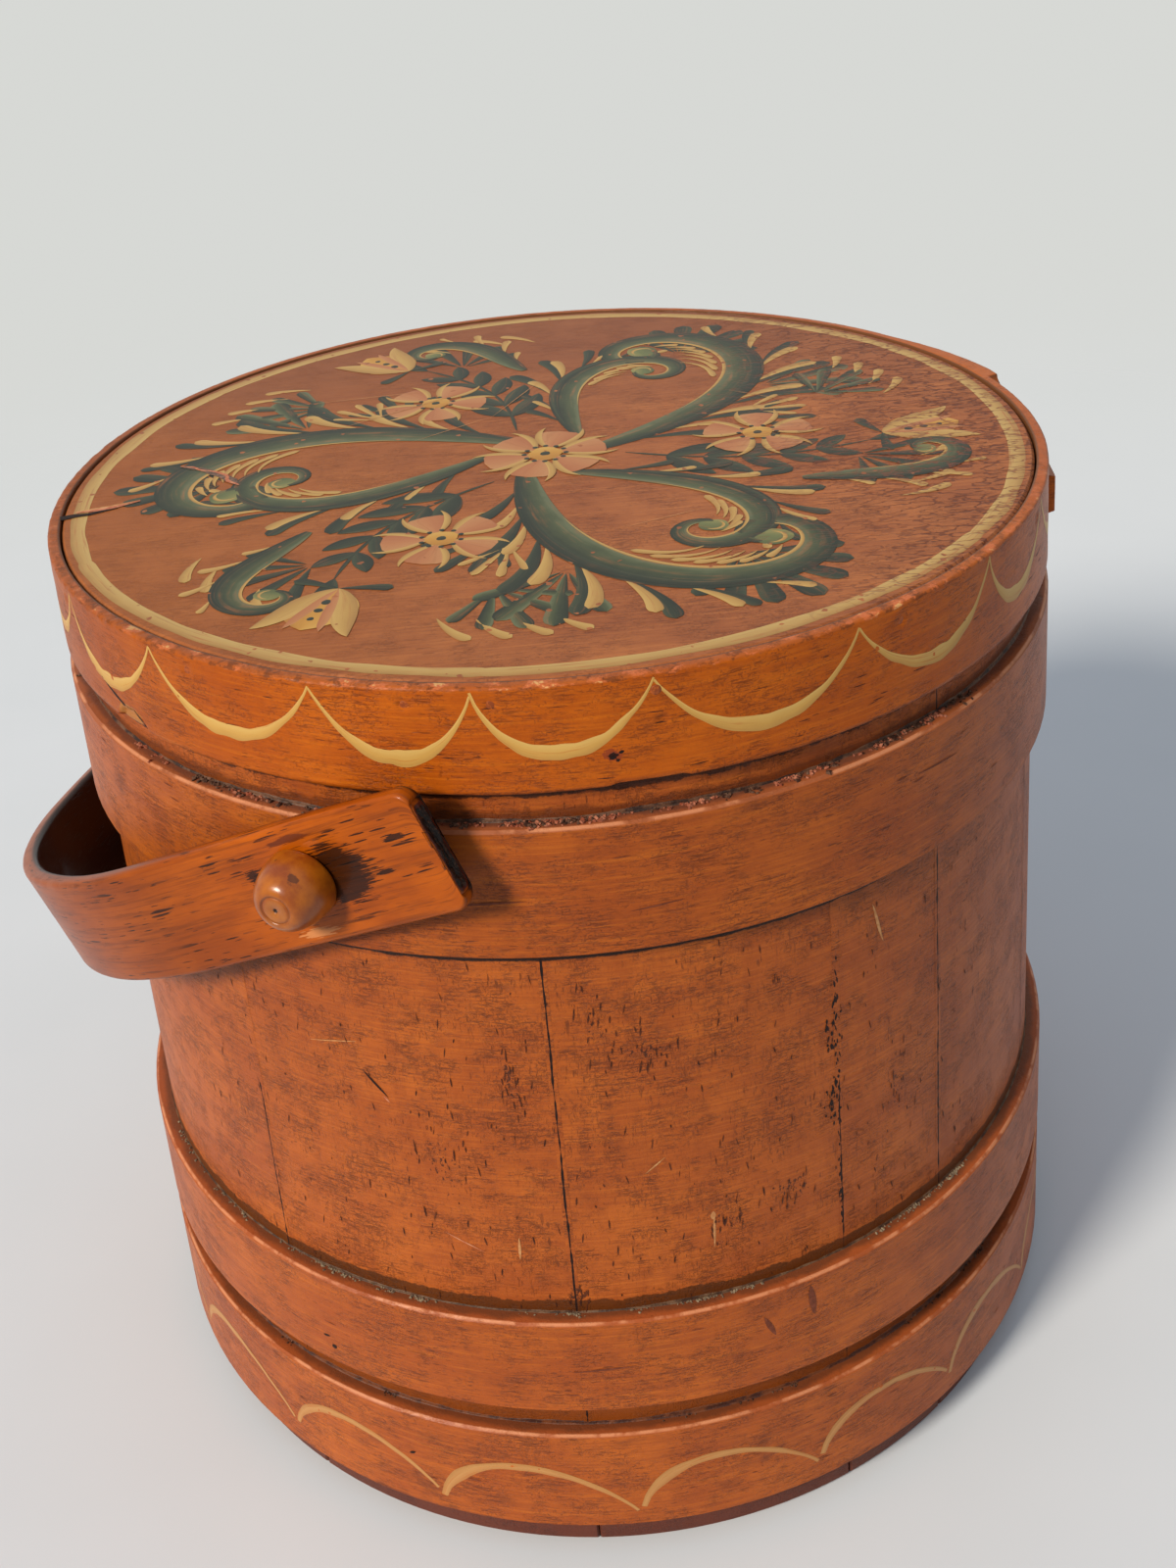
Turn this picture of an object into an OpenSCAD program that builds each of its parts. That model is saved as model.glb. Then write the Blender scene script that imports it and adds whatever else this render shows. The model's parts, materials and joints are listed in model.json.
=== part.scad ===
// Lidded wooden bucket: fifteen staves held by three wooden hoops, a bottom board in a groove,
// a lid that is a board with a bent rim, and a bent wood handle that turns on two turned pegs.
// The origin is the centre of the circle that the stave feet stand on. The near peg is at -Y,
// and the handle hangs down at -X.

/* [Staves] */
// Radius of the staves' outer face at the feet
foot_radius = 154.8; // [148:0.2:162]
// Radius of the staves' outer face at the top
mouth_radius = 142.3; // [138:0.1:146]
// Height of the staves
stave_height = 287.5; // [270:0.5:310]
// Thickness of the staves
stave_thickness = 13; // [11:0.5:15]
// Width of the joint between two staves
stave_joint = 0.4; // [0.2:0.1:0.8]
// Depth of the eased edge along each joint
joint_bevel = 0.6; // [0.3:0.1:1.2]
// Bevel at the outer edge of the feet
foot_bevel = 1.6; // [0.5:0.1:3]

/* [Bottom] */
// Height of the bottom board's underside above the floor
bottom_height = 17; // [12:0.5:24]
// Thickness of the bottom board at its middle
bottom_thickness = 11; // [9:0.5:14]
// Thickness of the bottom board's thinned edge
bottom_edge = 7; // [5:0.5:8]
// Width of the bottom board's slope down to its thinned edge
bottom_slope = 14; // [8:0.5:20]
// Depth of the groove in the staves that holds the bottom board
groove_depth = 4.5; // [3:0.25:6]
// Clearance of the bottom board in its groove
groove_clearance = 0.1; // [0.05:0.05:0.2]

/* [Hoops] */
// Height of the bottom hoop's lower edge above the floor
bottom_hoop_low = 13; // [9:0.5:16]
// Width of the bottom hoop
bottom_hoop_width = 40; // [34:0.5:44]
// Thickness of the bottom hoop
bottom_hoop_thickness = 4.8; // [3.5:0.1:6]
// Height of the middle hoop's lower edge above the floor
middle_hoop_low = 63.5; // [60:0.5:90]
// Width of the middle hoop
middle_hoop_width = 35.2; // [30:0.2:42]
// Thickness of the middle hoop
middle_hoop_thickness = 4.8; // [3.5:0.1:6]
// Distance of the upper hoop's top edge below the stave tops
upper_hoop_drop = 26.4; // [22:0.2:34]
// Width of the upper hoop
upper_hoop_width = 37.1; // [34:0.1:44]
// Thickness of the upper hoop
upper_hoop_thickness = 4.3; // [3.5:0.1:5.5]
// Bevel at the hoops' outer edges
hoop_bevel = 0.8; // [0.4:0.1:1.2]
// Angle over which a hoop's outer end rises over the end beneath it
hoop_lap = 34; // [24:1:44]

/* [Lid] */
// Thickness of the lid board
lid_thickness = 10.8; // [8:0.2:14]
// Depth of the lid rim from its top edge to its lower edge
rim_depth = 28.3; // [24:0.1:32]
// Thickness of the lid rim
rim_thickness = 3.4; // [2.6:0.1:4.2]
// How much wider the rim is at its lower edge than at its top edge
rim_flare = 1.4; // [1:0.05:1.6]
// Clearance between the rim's lower edge and the staves
rim_clearance = 0.55; // [0.45:0.05:1]
// Height of the rim's top edge above the lid board
rim_lip = 0.4; // [0:0.1:1.2]
// Depth of the eased edge round the lid board's top
lid_ease = 0.8; // [0.3:0.1:2]
// Gap between the lid board's edge and the rim
lid_board_gap = 0.5; // [0.2:0.1:0.9]
// Angle over which the rim's outer end covers the end beneath it
rim_lap = 42; // [38:1:48]
// Angle over which the rim's outer end rises over the end beneath it
rim_rise = 18; // [14:1:22]
// Length of the finger in which the rim's outer end stops
finger_length = 40; // [24:1:50]
// Width of that finger
finger_width = 12; // [8:0.5:16]
// Height of that finger above the rim's lower edge
finger_drop = 3.3; // [2:0.1:6]
// Length over which the rim narrows to the finger
finger_shoulder = 22; // [12:1:30]

/* [Handle] */
// Height of the peg axis above the upper hoop's lower edge
peg_rise = 23.9; // [20:0.1:25]
// Width of the bent strap
strap_width = 34; // [30:0.5:36]
// Thickness of the bent strap
strap_thickness = 5.5; // [4:0.1:7]
// Radius that rounds the strap's long edges
strap_edge = 1.6; // [0.8:0.1:1.9]
// Radius that rounds the corners of the strap's ends
strap_corner = 4; // [2:0.5:7]
// Gap between the upper hoop and the strap at the peg
strap_gap = 2.1; // [1.8:0.1:3]
// How far the peg holes lie off the strap's middle line
hole_offset = 1.5; // [0:0.5:4]
// Length of the strap's ends beyond the pegs
strap_tail = 42; // [36:1:50]
// Reach of the handle from the peg axis to its outer face
handle_reach = 177.5; // [172:0.5:188]
// Radius of the strap's outer face at the handle's corners
corner_radius = 123; // [114:1:130]
// Radius of the strap's outer face along the grip
grip_radius = 209; // [190:1:240]

/* [Pegs] */
// Radius of the peg's shank
peg_radius = 5.5; // [4.5:0.1:6]
// Radius of the peg's head
head_radius = 9.75; // [8.5:0.25:11]
// Length of the peg's head
head_length = 12.7; // [9:0.1:14]
// Radius of the flat tip of the peg's head
tip_radius = 4.2; // [2.5:0.1:5]
// Height of the cylinder at the foot of the peg's head
head_foot = 1.2; // [0.6:0.1:2]
// Clearance of the strap's hole round the shank
pivot_clearance = 0.06; // [0.02:0.01:0.09]

/* [Nails] */
// Radius of a nail's head
nail_head_radius = 1.7; // [1.2:0.1:2.2]
// Radius of a nail's shank
nail_radius = 0.8; // [0.6:0.1:1]
// Length of the nails that hold the rim to the lid board
rim_nail_length = 16; // [12:0.5:20]
// Distance of the rim nails below the lid board's top
rim_nail_drop = 4.2; // [3:0.1:6]
// Distance of a lap's first nail from the lap's end
lap_nail_inset = 7; // [4:0.5:12]
// Distance between the two nails in the rim's finger
finger_nail_spacing = 17; // [8:1:24]

/* [Hidden] */
STAVES = [for (i = [1:15]) str("stave_", i < 10 ? "0" : "", i)];
$fn = 96;
// Something to reach past a face with, in cuts
past = 1;
// A gap that keeps two resting pieces just apart
rest_gap = 0.3;
// A gap that keeps two pieces of one assembly just apart
seat_gap = 0.05;

// Angles are measured from the near peg at -Y, towards +X.
// Where the first stave starts, and how wide each stave is
first_joint = -15;
STAVE_ANGLES = [36, 31, 15, 25, 19, 28, 26, 30, 22, 24, 21, 15, 13, 22, 33];
// Where the outer ends of the hoops and of the rim lie
bottom_lap_at = 178;
middle_lap_at = 152;
upper_lap_at = 222;
rim_lap_at = 108;
// Where the nails through the rim are driven
RIM_NAIL_ANGLES = [11, 19, 34, 60, 88, 112, 158, 190, 222, 256, 290, 322, 347];
// The nails in a hoop's lap stand in one row
nails_per_lap = 3;
// Straight pieces in which the round forms of the strap and of the peg's head are drawn
edge_steps = 3;
corner_steps = 4;
bend_steps = 12;
grip_steps = 6;
dome_steps = 10;

// Slope of the staves: how much the radius falls for each millimetre of height
stave_slope = (foot_radius - mouth_radius) / stave_height;
function stave_outer(z) = foot_radius - stave_slope * z;
function stave_inner(z) = stave_outer(z) - stave_thickness;

// The angle that a length takes round a circle
function angle_of(length, radius) = length / radius * 180 / PI;

function stave_start(i) = i == 0 ? first_joint : stave_start(i - 1) + STAVE_ANGLES[i - 1];

bottom_top = bottom_height + bottom_thickness;
groove_top = bottom_height + bottom_edge + groove_clearance;
bottom_radius = stave_inner(bottom_height) + groove_depth - rest_gap;

upper_hoop_top = stave_height - upper_hoop_drop;
upper_hoop_low = upper_hoop_top - upper_hoop_width;

lid_board_low = stave_height + rest_gap;
lid_board_top = lid_board_low + lid_thickness;
rim_top = lid_board_top + rim_lip;
rim_low = rim_top - rim_depth;
rim_slope = rim_flare / rim_depth;
function rim_inner(z) = stave_outer(rim_low) + rim_clearance - rim_slope * (z - rim_low);
rim_outer = (rim_inner(rim_low) + rim_inner(rim_top)) / 2 + rim_thickness;
lid_board_radius = rim_inner(lid_board_top) - lid_board_gap;

peg_height = upper_hoop_low + peg_rise;
strap_inner = stave_outer(peg_height) + seat_gap + upper_hoop_thickness + strap_gap;
strap_outer = strap_inner + strap_thickness;
// Edges of the strap, measured across it from the peg axis
strap_low = -strap_width / 2 - hole_offset;
strap_high = strap_width / 2 - hole_offset;
// The corner arcs are tangent to the arms and to the grip's arc
corner_q = strap_outer - corner_radius;
arm_length = handle_reach - grip_radius + sqrt(pow(grip_radius - corner_radius, 2) - pow(corner_q, 2));
grip_half_angle = asin(corner_q / (grip_radius - corner_radius));
// The handle hangs until the lower edge of its grip is a rest gap from the staves
grip_inner = handle_reach - strap_thickness;
hang_across = grip_inner + stave_slope * strap_low;
hang_down = stave_slope * grip_inner - strap_low;
hang_angle = acos((stave_outer(peg_height) + rest_gap) / norm([hang_across, hang_down]))
    - atan2(hang_down, hang_across);

pine = [0.72, 0.38, 0.2];
hoop_paint = [0.62, 0.3, 0.15];
lid_paint = [0.6, 0.32, 0.2];
strap_wood = [0.34, 0.19, 0.12];
peg_wood = [0.42, 0.2, 0.1];
iron = [0.25, 0.22, 0.2];

// Turns a shape from the near peg's direction to an angle round the bucket
module at_angle(a) {
    rotate([0, 0, a]) children();
}

// Part of a round form from one angle to another, with the profile in radius and height
module arc_of(start, angle) {
    rotate([0, 0, start - 90]) rotate_extrude(angle = angle, $fn = 96) children();
}

// Straight sides of a conical ring, without its bevels
module ring_profile(low, high, inner_low, inner_high, thickness, bevel) {
    polygon([
        [inner_low, low],
        [inner_low + thickness - bevel, low],
        [inner_low + thickness, low + bevel],
        [inner_high + thickness, high - bevel],
        [inner_high + thickness - bevel, high],
        [inner_high, high]
    ]);
}

// A solid cone that fills a band of this thickness, and is smaller than it by less
module band_cone(low, high, inner_low, inner_high, thickness, bevel, less) {
    rotate_extrude() polygon([
        [0, low],
        [inner_low + thickness - less - bevel, low],
        [inner_low + thickness - less, low + bevel],
        [inner_high + thickness - less, high - bevel],
        [inner_high + thickness - less - bevel, high],
        [0, high]
    ]);
}

// A band bent round, whose outer end rises over the end beneath it and stops in a step.
// The rise is a smaller ring set off centre, which leaves the band's face at a shallow angle.
module lapped_band(low, high, inner_low, inner_high, thickness, bevel, lap_at, lap) {
    outer = (inner_low + inner_high) / 2 + thickness;
    full = outer + thickness;
    off_centre = (pow(full, 2) - pow(outer, 2)) / (2 * (full - outer * cos(lap)));
    less = outer + off_centre - full;
    at_angle(lap_at) {
        rotate_extrude() ring_profile(low, high, inner_low, inner_high, thickness, bevel);
        difference() {
            intersection() {
                translate([0, -off_centre, 0])
                    band_cone(low, high, inner_low, inner_high, thickness, bevel, less);
                translate([0, -full - thickness, low - past])
                    cube([full, full + thickness, high - low + 2 * past]);
            }
            band_core(low, high, inner_low, inner_high, thickness);
        }
    }
}

// What lies inside the middle of a band's thickness
module band_core(low, high, inner_low, inner_high, thickness) {
    rotate_extrude() polygon([
        [0, low - past],
        [inner_low + thickness / 2, low - past],
        [inner_high + thickness / 2, high + past],
        [0, high + past]
    ]);
}

// The hole that a peg passes through, at its own side of the bucket
module peg_hole(side, clearance) {
    translate([0, 0, peg_height]) rotate([side < 0 ? 90 : -90, 0, 0])
        cylinder(r = peg_radius + clearance, h = strap_outer + past);
}

// One stave: a tapering arc of the bucket's wall, grooved inside for the bottom board
module stave(i) {
    trim = angle_of(stave_joint / 2, foot_radius);
    start = stave_start(i) + trim;
    angle = STAVE_ANGLES[i] - 2 * trim;
    lean = atan(stave_slope);
    color(pine) difference() {
        arc_of(start, angle) polygon([
            [stave_outer(0) - foot_bevel, 0],
            [stave_outer(foot_bevel), foot_bevel],
            [stave_outer(stave_height), stave_height],
            [stave_inner(stave_height), stave_height],
            [stave_inner(groove_top), groove_top],
            [stave_inner(groove_top) + groove_depth, groove_top],
            [stave_inner(bottom_height) + groove_depth, bottom_height - groove_clearance],
            [stave_inner(bottom_height), bottom_height - groove_clearance],
            [stave_inner(0), 0]
        ]);
        // Eased edges along both joints
        for (a = [start, start + angle])
            at_angle(a) translate([0, -foot_radius, 0]) rotate([-lean, 0, 0])
                rotate([0, 0, 45]) translate([-joint_bevel / sqrt(2), -joint_bevel / sqrt(2), -past])
                    cube([joint_bevel * sqrt(2), joint_bevel * sqrt(2), stave_height + 3 * past]);
        peg_hole(-1, seat_gap);
        peg_hole(1, seat_gap);
    }
}

// The round board that closes the bottom, thinned at its edge to enter the groove
module bottom_board() {
    color(pine) rotate_extrude() polygon([
        [0, bottom_height],
        [bottom_radius, bottom_height],
        [bottom_radius, bottom_height + bottom_edge],
        [bottom_radius - groove_depth, bottom_height + bottom_edge],
        [bottom_radius - groove_depth - bottom_slope, bottom_top],
        [0, bottom_top]
    ]);
}

// A wooden hoop drawn tight round the staves
module hoop(low, width, thickness, lap_at) {
    color(hoop_paint) lapped_band(low, low + width, stave_outer(low) + seat_gap,
        stave_outer(low + width) + seat_gap, thickness, hoop_bevel, lap_at, hoop_lap);
}

module bottom_hoop() {
    hoop(bottom_hoop_low, bottom_hoop_width, bottom_hoop_thickness, bottom_lap_at);
}

module middle_hoop() {
    hoop(middle_hoop_low, middle_hoop_width, middle_hoop_thickness, middle_lap_at);
}

module upper_hoop() {
    difference() {
        hoop(upper_hoop_low, upper_hoop_width, upper_hoop_thickness, upper_lap_at);
        peg_hole(-1, seat_gap);
        peg_hole(1, seat_gap);
    }
}

// A nail driven inwards, with its low head on the face at a radius
module nail(a, z, face, length) {
    at_angle(a) translate([0, -face, z]) rotate([90, 0, 0]) {
        translate([0, 0, -nail_radius / 2]) cylinder(r = nail_head_radius, h = nail_radius);
        translate([0, 0, -length]) cylinder(r = nail_radius, h = length);
    }
}

// The short nails that hold a hoop's lap, in a row across it
module hoop_nails(low, width, thickness, lap_at) {
    face = 2 * thickness + seat_gap - nail_radius / 2;
    a = lap_at + angle_of(lap_nail_inset, foot_radius);
    color(iron) for (k = [1:nails_per_lap]) {
        z = low + width * k / (nails_per_lap + 1);
        nail(a, z, stave_outer(z) + face, 2 * thickness + stave_thickness / 2);
    }
}

module bottom_hoop_nails() {
    hoop_nails(bottom_hoop_low, bottom_hoop_width, bottom_hoop_thickness, bottom_lap_at);
}

module middle_hoop_nails() {
    hoop_nails(middle_hoop_low, middle_hoop_width, middle_hoop_thickness, middle_lap_at);
}

module upper_hoop_nails() {
    hoop_nails(upper_hoop_low, upper_hoop_width, upper_hoop_thickness, upper_lap_at);
}

// The lid's round board, with its top edge just eased
module lid_board() {
    color(lid_paint) rotate_extrude() polygon([
        [0, lid_board_low],
        [lid_board_radius, lid_board_low],
        [lid_board_radius, lid_board_top - lid_ease],
        [lid_board_radius - lid_ease, lid_board_top],
        [0, lid_board_top]
    ]);
}

// Side view of the rim's outer end, from its tip: a finger, a shoulder, then the rim's full width
module finger_outline() {
    low = rim_low + finger_drop;
    root = finger_length + finger_shoulder;
    polygon([
        [0, low],
        [finger_length, low],
        [root, rim_low - past],
        [rim_outer + past, rim_low - past],
        [rim_outer + past, rim_top + past],
        [root, rim_top + past],
        [finger_length, low + finger_width],
        [0, low + finger_width]
    ]);
}

// The rim's outer end. It rises over the end beneath it on a ring set off centre, and from there
// lies flat on it as a second thickness of the same band.
module rim_finger() {
    top_of_rise = rim_lap - rim_rise;
    full = rim_outer + rim_thickness;
    off_centre = (pow(full, 2) - pow(rim_outer, 2))
        / (2 * (full * cos(top_of_rise) - rim_outer * cos(rim_lap)));
    less = rim_outer - norm([full * sin(top_of_rise), full * cos(top_of_rise) - off_centre]);
    inner_low = rim_inner(rim_low);
    inner_high = rim_inner(rim_top);
    difference() {
        intersection() {
            band_cone(rim_low, rim_top, inner_low, inner_high, 2 * rim_thickness, hoop_bevel, 0);
            translate([0, -off_centre, 0])
                band_cone(rim_low, rim_top, inner_low, inner_high, rim_thickness, hoop_bevel, less);
            rotate([90, 0, 0]) linear_extrude(full + past) finger_outline();
        }
        band_core(rim_low, rim_top, inner_low, inner_high, rim_thickness);
    }
}

// The thin band bent round the lid board
module lid_rim() {
    color(lid_paint) at_angle(rim_lap_at) {
        rotate_extrude()
            ring_profile(rim_low, rim_top, rim_inner(rim_low), rim_inner(rim_top), rim_thickness, hoop_bevel);
        rim_finger();
    }
}

// Nails through the rim into the edge of the lid board
module lid_rim_nails() {
    z = lid_board_top - rim_nail_drop;
    color(iron) for (a = RIM_NAIL_ANGLES)
        nail(a, z, rim_inner(z) + rim_thickness, rim_nail_length);
}

// Two small nails that hold the finger in which the rim's outer end stops
module lid_lap_nails() {
    z = rim_low + finger_drop + finger_width / 2;
    color(iron) for (along = [lap_nail_inset, lap_nail_inset + finger_nail_spacing])
        nail(rim_lap_at + angle_of(along, rim_outer), z, rim_inner(z) + 2 * rim_thickness,
            2 * rim_thickness - seat_gap);
}

// Section of the bent strap, as points outwards from its outer face and up from the peg axis
STRAP_SECTION = [for (c = [0:3], k = [0:edge_steps]) let (a = 90 * (c + k / edge_steps)) [
    (c == 0 || c == 3 ? -strap_edge : strap_edge - strap_thickness) + strap_edge * cos(a),
    (c < 2 ? strap_high - strap_edge : strap_low + strap_edge) + strap_edge * sin(a)
]];

// Stations along one side of the strap, from its tail to the middle of the grip. Each one holds
// a point of the outer face, the direction of the face's normal, and how far the corners are cut in.
STATIONS = concat(
    [for (k = [0:corner_steps]) let (a = 90 * k / corner_steps)
        [strap_tail - strap_corner * (1 - sin(a)), strap_outer, 90, strap_corner * (1 - cos(90 - a))]],
    [for (k = [0:bend_steps]) let (a = 90 + (90 - grip_half_angle) * k / bend_steps)
        [corner_radius * cos(a) - arm_length, corner_radius * sin(a) + corner_q, a, 0]],
    [for (k = [1:grip_steps]) let (a = 180 - grip_half_angle * (1 - k / grip_steps))
        [grip_radius * cos(a) + grip_radius - handle_reach, grip_radius * sin(a), a, 0]]
);

// The strap swept along both sides of the handle
module strap() {
    half = len(STATIONS);
    route = concat(STATIONS, [for (k = [2:half]) let (s = STATIONS[half - k]) [s[0], -s[1], -s[2], s[3]]]);
    ring = len(STRAP_SECTION);
    middle = (strap_high + strap_low) / 2;
    points = [for (s = route, q = STRAP_SECTION) [
        s[0] + q[0] * cos(s[2]),
        s[1] + q[0] * sin(s[2]),
        middle + (q[1] - middle) * (1 - 2 * s[3] / strap_width)
    ]];
    last = (len(route) - 1) * ring;
    polyhedron(points, concat(
        [[for (j = [0:ring - 1]) ring - 1 - j]],
        [for (i = [0:len(route) - 2], j = [0:ring - 1], half_face = [0, 1])
            let (a = i * ring + j, b = i * ring + (j + 1) % ring)
            half_face == 0 ? [a, b, b + ring] : [a, b + ring, a + ring]],
        [[for (j = [0:ring - 1]) last + j]]
    ));
}

// The bent wood handle, hanging on its pegs
module handle() {
    color(strap_wood) translate([0, 0, peg_height]) rotate([0, -hang_angle, 0]) difference() {
        strap();
        for (side = [-1, 1])
            rotate([side * 90, 0, 0]) cylinder(r = peg_radius + pivot_clearance, h = strap_outer + past);
    }
}

// A turned peg: a plain shank through the wall, and a domed head with a small flat tip
module peg() {
    inner_end = stave_inner(peg_height);
    head_start = strap_outer + rest_gap;
    color(peg_wood) rotate_extrude() polygon(concat(
        [[0, inner_end], [peg_radius, inner_end], [peg_radius, head_start]],
        [[head_radius - head_foot / 2, head_start], [head_radius, head_start + head_foot / 2]],
        [for (k = [1:dome_steps]) let (a = 90 * k / dome_steps) [
            tip_radius + (head_radius - tip_radius) * cos(a),
            head_start + head_foot + (head_length - head_foot) * sin(a)
        ]],
        [[0, head_start + head_length]]
    ));
}

module handle_peg_near() {
    translate([0, 0, peg_height]) rotate([90, 0, 0]) peg();
}

module handle_peg_far() {
    translate([0, 0, peg_height]) rotate([-90, 0, 0]) peg();
}

for (i = [0:len(STAVES) - 1])
    stave(i);
bottom_board();
bottom_hoop();
bottom_hoop_nails();
middle_hoop();
middle_hoop_nails();
upper_hoop();
upper_hoop_nails();
lid_board();
lid_rim();
lid_rim_nails();
lid_lap_nails();
handle();
handle_peg_near();
handle_peg_far();
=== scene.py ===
import bpy
import bmesh
import json
import math
import random
from mathutils import Matrix, Vector, noise
from mathutils.bvhtree import BVHTree


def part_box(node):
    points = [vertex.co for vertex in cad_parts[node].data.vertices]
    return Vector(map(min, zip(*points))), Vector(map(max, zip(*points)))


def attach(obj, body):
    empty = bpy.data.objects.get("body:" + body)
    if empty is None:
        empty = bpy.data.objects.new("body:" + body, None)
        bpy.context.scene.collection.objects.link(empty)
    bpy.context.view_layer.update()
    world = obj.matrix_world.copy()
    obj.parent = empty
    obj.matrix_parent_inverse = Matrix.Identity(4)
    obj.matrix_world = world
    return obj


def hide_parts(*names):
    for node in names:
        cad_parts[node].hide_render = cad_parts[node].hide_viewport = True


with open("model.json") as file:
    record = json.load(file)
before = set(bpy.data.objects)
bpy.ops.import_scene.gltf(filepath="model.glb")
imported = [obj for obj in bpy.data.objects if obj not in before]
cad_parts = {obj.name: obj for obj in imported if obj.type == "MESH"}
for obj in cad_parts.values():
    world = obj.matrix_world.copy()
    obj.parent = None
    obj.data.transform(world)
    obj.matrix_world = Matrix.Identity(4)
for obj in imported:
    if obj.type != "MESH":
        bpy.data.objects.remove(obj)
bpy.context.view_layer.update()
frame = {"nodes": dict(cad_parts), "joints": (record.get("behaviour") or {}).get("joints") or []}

# A lidded stave bucket in old red-brown paint: staves, three wooden hoops, a lid with a brushed scroll design,
# and a bent wood handle on two turned pegs. Lengths in this file are millimetres, turned to metres by MM.
# Angles round the bucket are degrees from the near peg towards +X.

MM = 0.001

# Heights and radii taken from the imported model
LID_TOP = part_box("lid_board")[1].z / MM
RIM_LOW, RIM_TOP = (corner.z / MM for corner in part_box("lid_rim"))
LID_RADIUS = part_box("lid_board")[1].x / MM
PIVOT = next(j for j in frame["joints"] if j["name"] == "handle_swing")["pos_m"][2] / MM
HOOP_LEVELS = {name: tuple(corner.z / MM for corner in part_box(name))
               for name in ("bottom_hoop", "middle_hoop", "upper_hoop")}
STAVE_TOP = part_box("stave_01")[1].z / MM
STRAP_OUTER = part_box("handle")[1].y / MM
PEG_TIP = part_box("handle_peg_far")[1].y / MM

# The staves' outer face: its radius at the floor, and how much it narrows per millimetre of height
FOOT_RADIUS = 154.8
STAVE_SLOPE = (FOOT_RADIUS - 142.3) / STAVE_TOP
HOOP_THICK = {"bottom_hoop": 4.8, "middle_hoop": 4.8, "upper_hoop": 4.3}
# The rim's outer face at its lower edge and at its top edge, and its thickness
RIM_RADIUS_LOW = 146.98
RIM_RADIUS_TOP = 145.58
RIM_THICK = 3.4
# The rim's outer end: where it stops, and the angles at which it starts to rise and is fully up
FINGER_TIP = 108.0
RISE_START = 42.0
RISE_END = 24.0
# That end's outline: lower edge, width and length of the finger, and length of its shoulder
FINGER_LOW = RIM_LOW + 3.3
FINGER_WIDTH = 12.0
FINGER_LENGTH = 40.0
SHOULDER = 22.0
# The view turns the near peg this far to the left
VIEW_TURN = 26


def stave_radius(z):
    """Outer radius of the staves at a height."""
    return FOOT_RADIUS - STAVE_SLOPE * z


def rim_radius(z):
    """Outer radius of the lid rim's inner layer at a height."""
    share = (z - RIM_LOW) / (RIM_TOP - RIM_LOW)
    return RIM_RADIUS_LOW + share * (RIM_RADIUS_TOP - RIM_RADIUS_LOW)


def round_point(angle, z, radius):
    """A point at an angle from the near peg towards +X, in metres."""
    a = math.radians(angle)
    return Vector((radius * math.sin(a), -radius * math.cos(a), z)) * MM


def soft_step(value, low, high):
    """0 below low and 1 above high, smooth between."""
    t = min(1.0, max(0.0, (value - low) / (high - low)))
    return t * t * (3 - 2 * t)


def waver(x, y, seed):
    """Smooth unevenness from about -1 to 1."""
    return noise.noise((x, y, seed * 7.3)) * 1.6


def lap_height(angle, z):
    """How far the rim's outer end stands proud of its inner layer: it rises on a ring set off centre, runs
    level, and narrows to a finger that stops in a step."""
    past = (angle - FINGER_TIP + 180) % 360 - 180
    if not -0.4 < past < RISE_START:
        return 0.0
    base = (RIM_RADIUS_LOW + RIM_RADIUS_TOP) / 2
    full = base + RIM_THICK
    up, foot, a = (math.radians(v) for v in (RISE_END, RISE_START, max(past, 0.0)))
    off = (full ** 2 - base ** 2) / (2 * (full * math.cos(up) - base * math.cos(foot)))
    ring = math.hypot(full * math.sin(up), full * math.cos(up) - off)
    height = RIM_THICK
    if past > RISE_END:
        height = off * math.cos(a) + math.sqrt(ring ** 2 - (off * math.sin(a)) ** 2) - base
    along = math.radians(past) * base
    spread = soft_step(along, FINGER_LENGTH, FINGER_LENGTH + SHOULDER)
    low = FINGER_LOW - 6 * spread
    high = FINGER_LOW + FINGER_WIDTH + (RIM_TOP - FINGER_LOW - FINGER_WIDTH + 3) * spread
    inside = soft_step(z, low - 0.3, low + 0.3) * (1 - soft_step(z, high - 0.3, high + 0.3))
    return max(0.0, height) * inside * soft_step(along, -0.4, 0.4)


# Camera

# Fitted to the outlines of the rim, the hoops and the feet in the photograph
CAMERA_LENS = 39.69
CAMERA_DISTANCE = 525.2
CAMERA_HEIGHT_ANGLE = 20.64
CAMERA_PAN = -0.43
CAMERA_TILT = 10.92
CAMERA_ROLL = -5.10
AIM_HEIGHT = 299.0


def make_camera():
    """The photograph's view: aimed at the lid's middle, then panned, tilted and rolled."""
    rise = math.radians(CAMERA_HEIGHT_ANGLE)
    away = Vector((0, -math.cos(rise), math.sin(rise)))
    forward = -away
    right = Vector((1, 0, 0))
    up = right.cross(forward)
    rows = Matrix((right, -up, forward))
    rows = Matrix.Rotation(math.radians(CAMERA_PAN), 3, "Y") @ rows
    rows = Matrix.Rotation(math.radians(CAMERA_TILT), 3, "X") @ rows
    rows = Matrix.Rotation(math.radians(CAMERA_ROLL), 3, "Z") @ rows
    axes = Matrix((rows[0], -rows[1], -rows[2])).transposed()
    turn = Matrix.Rotation(math.radians(VIEW_TURN), 3, "Z")
    data = bpy.data.cameras.new("camera")
    data.lens = CAMERA_LENS
    data.sensor_width = 36
    data.clip_start = 0.05
    data.clip_end = 50
    camera = bpy.data.objects.new("camera", data)
    bpy.context.scene.collection.objects.link(camera)
    place = turn @ (away * CAMERA_DISTANCE + Vector((0, 0, AIM_HEIGHT))) * MM
    camera.matrix_world = Matrix.Translation(place) @ (turn @ axes).to_4x4()
    bpy.context.scene.camera = camera


# Material steps

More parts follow.
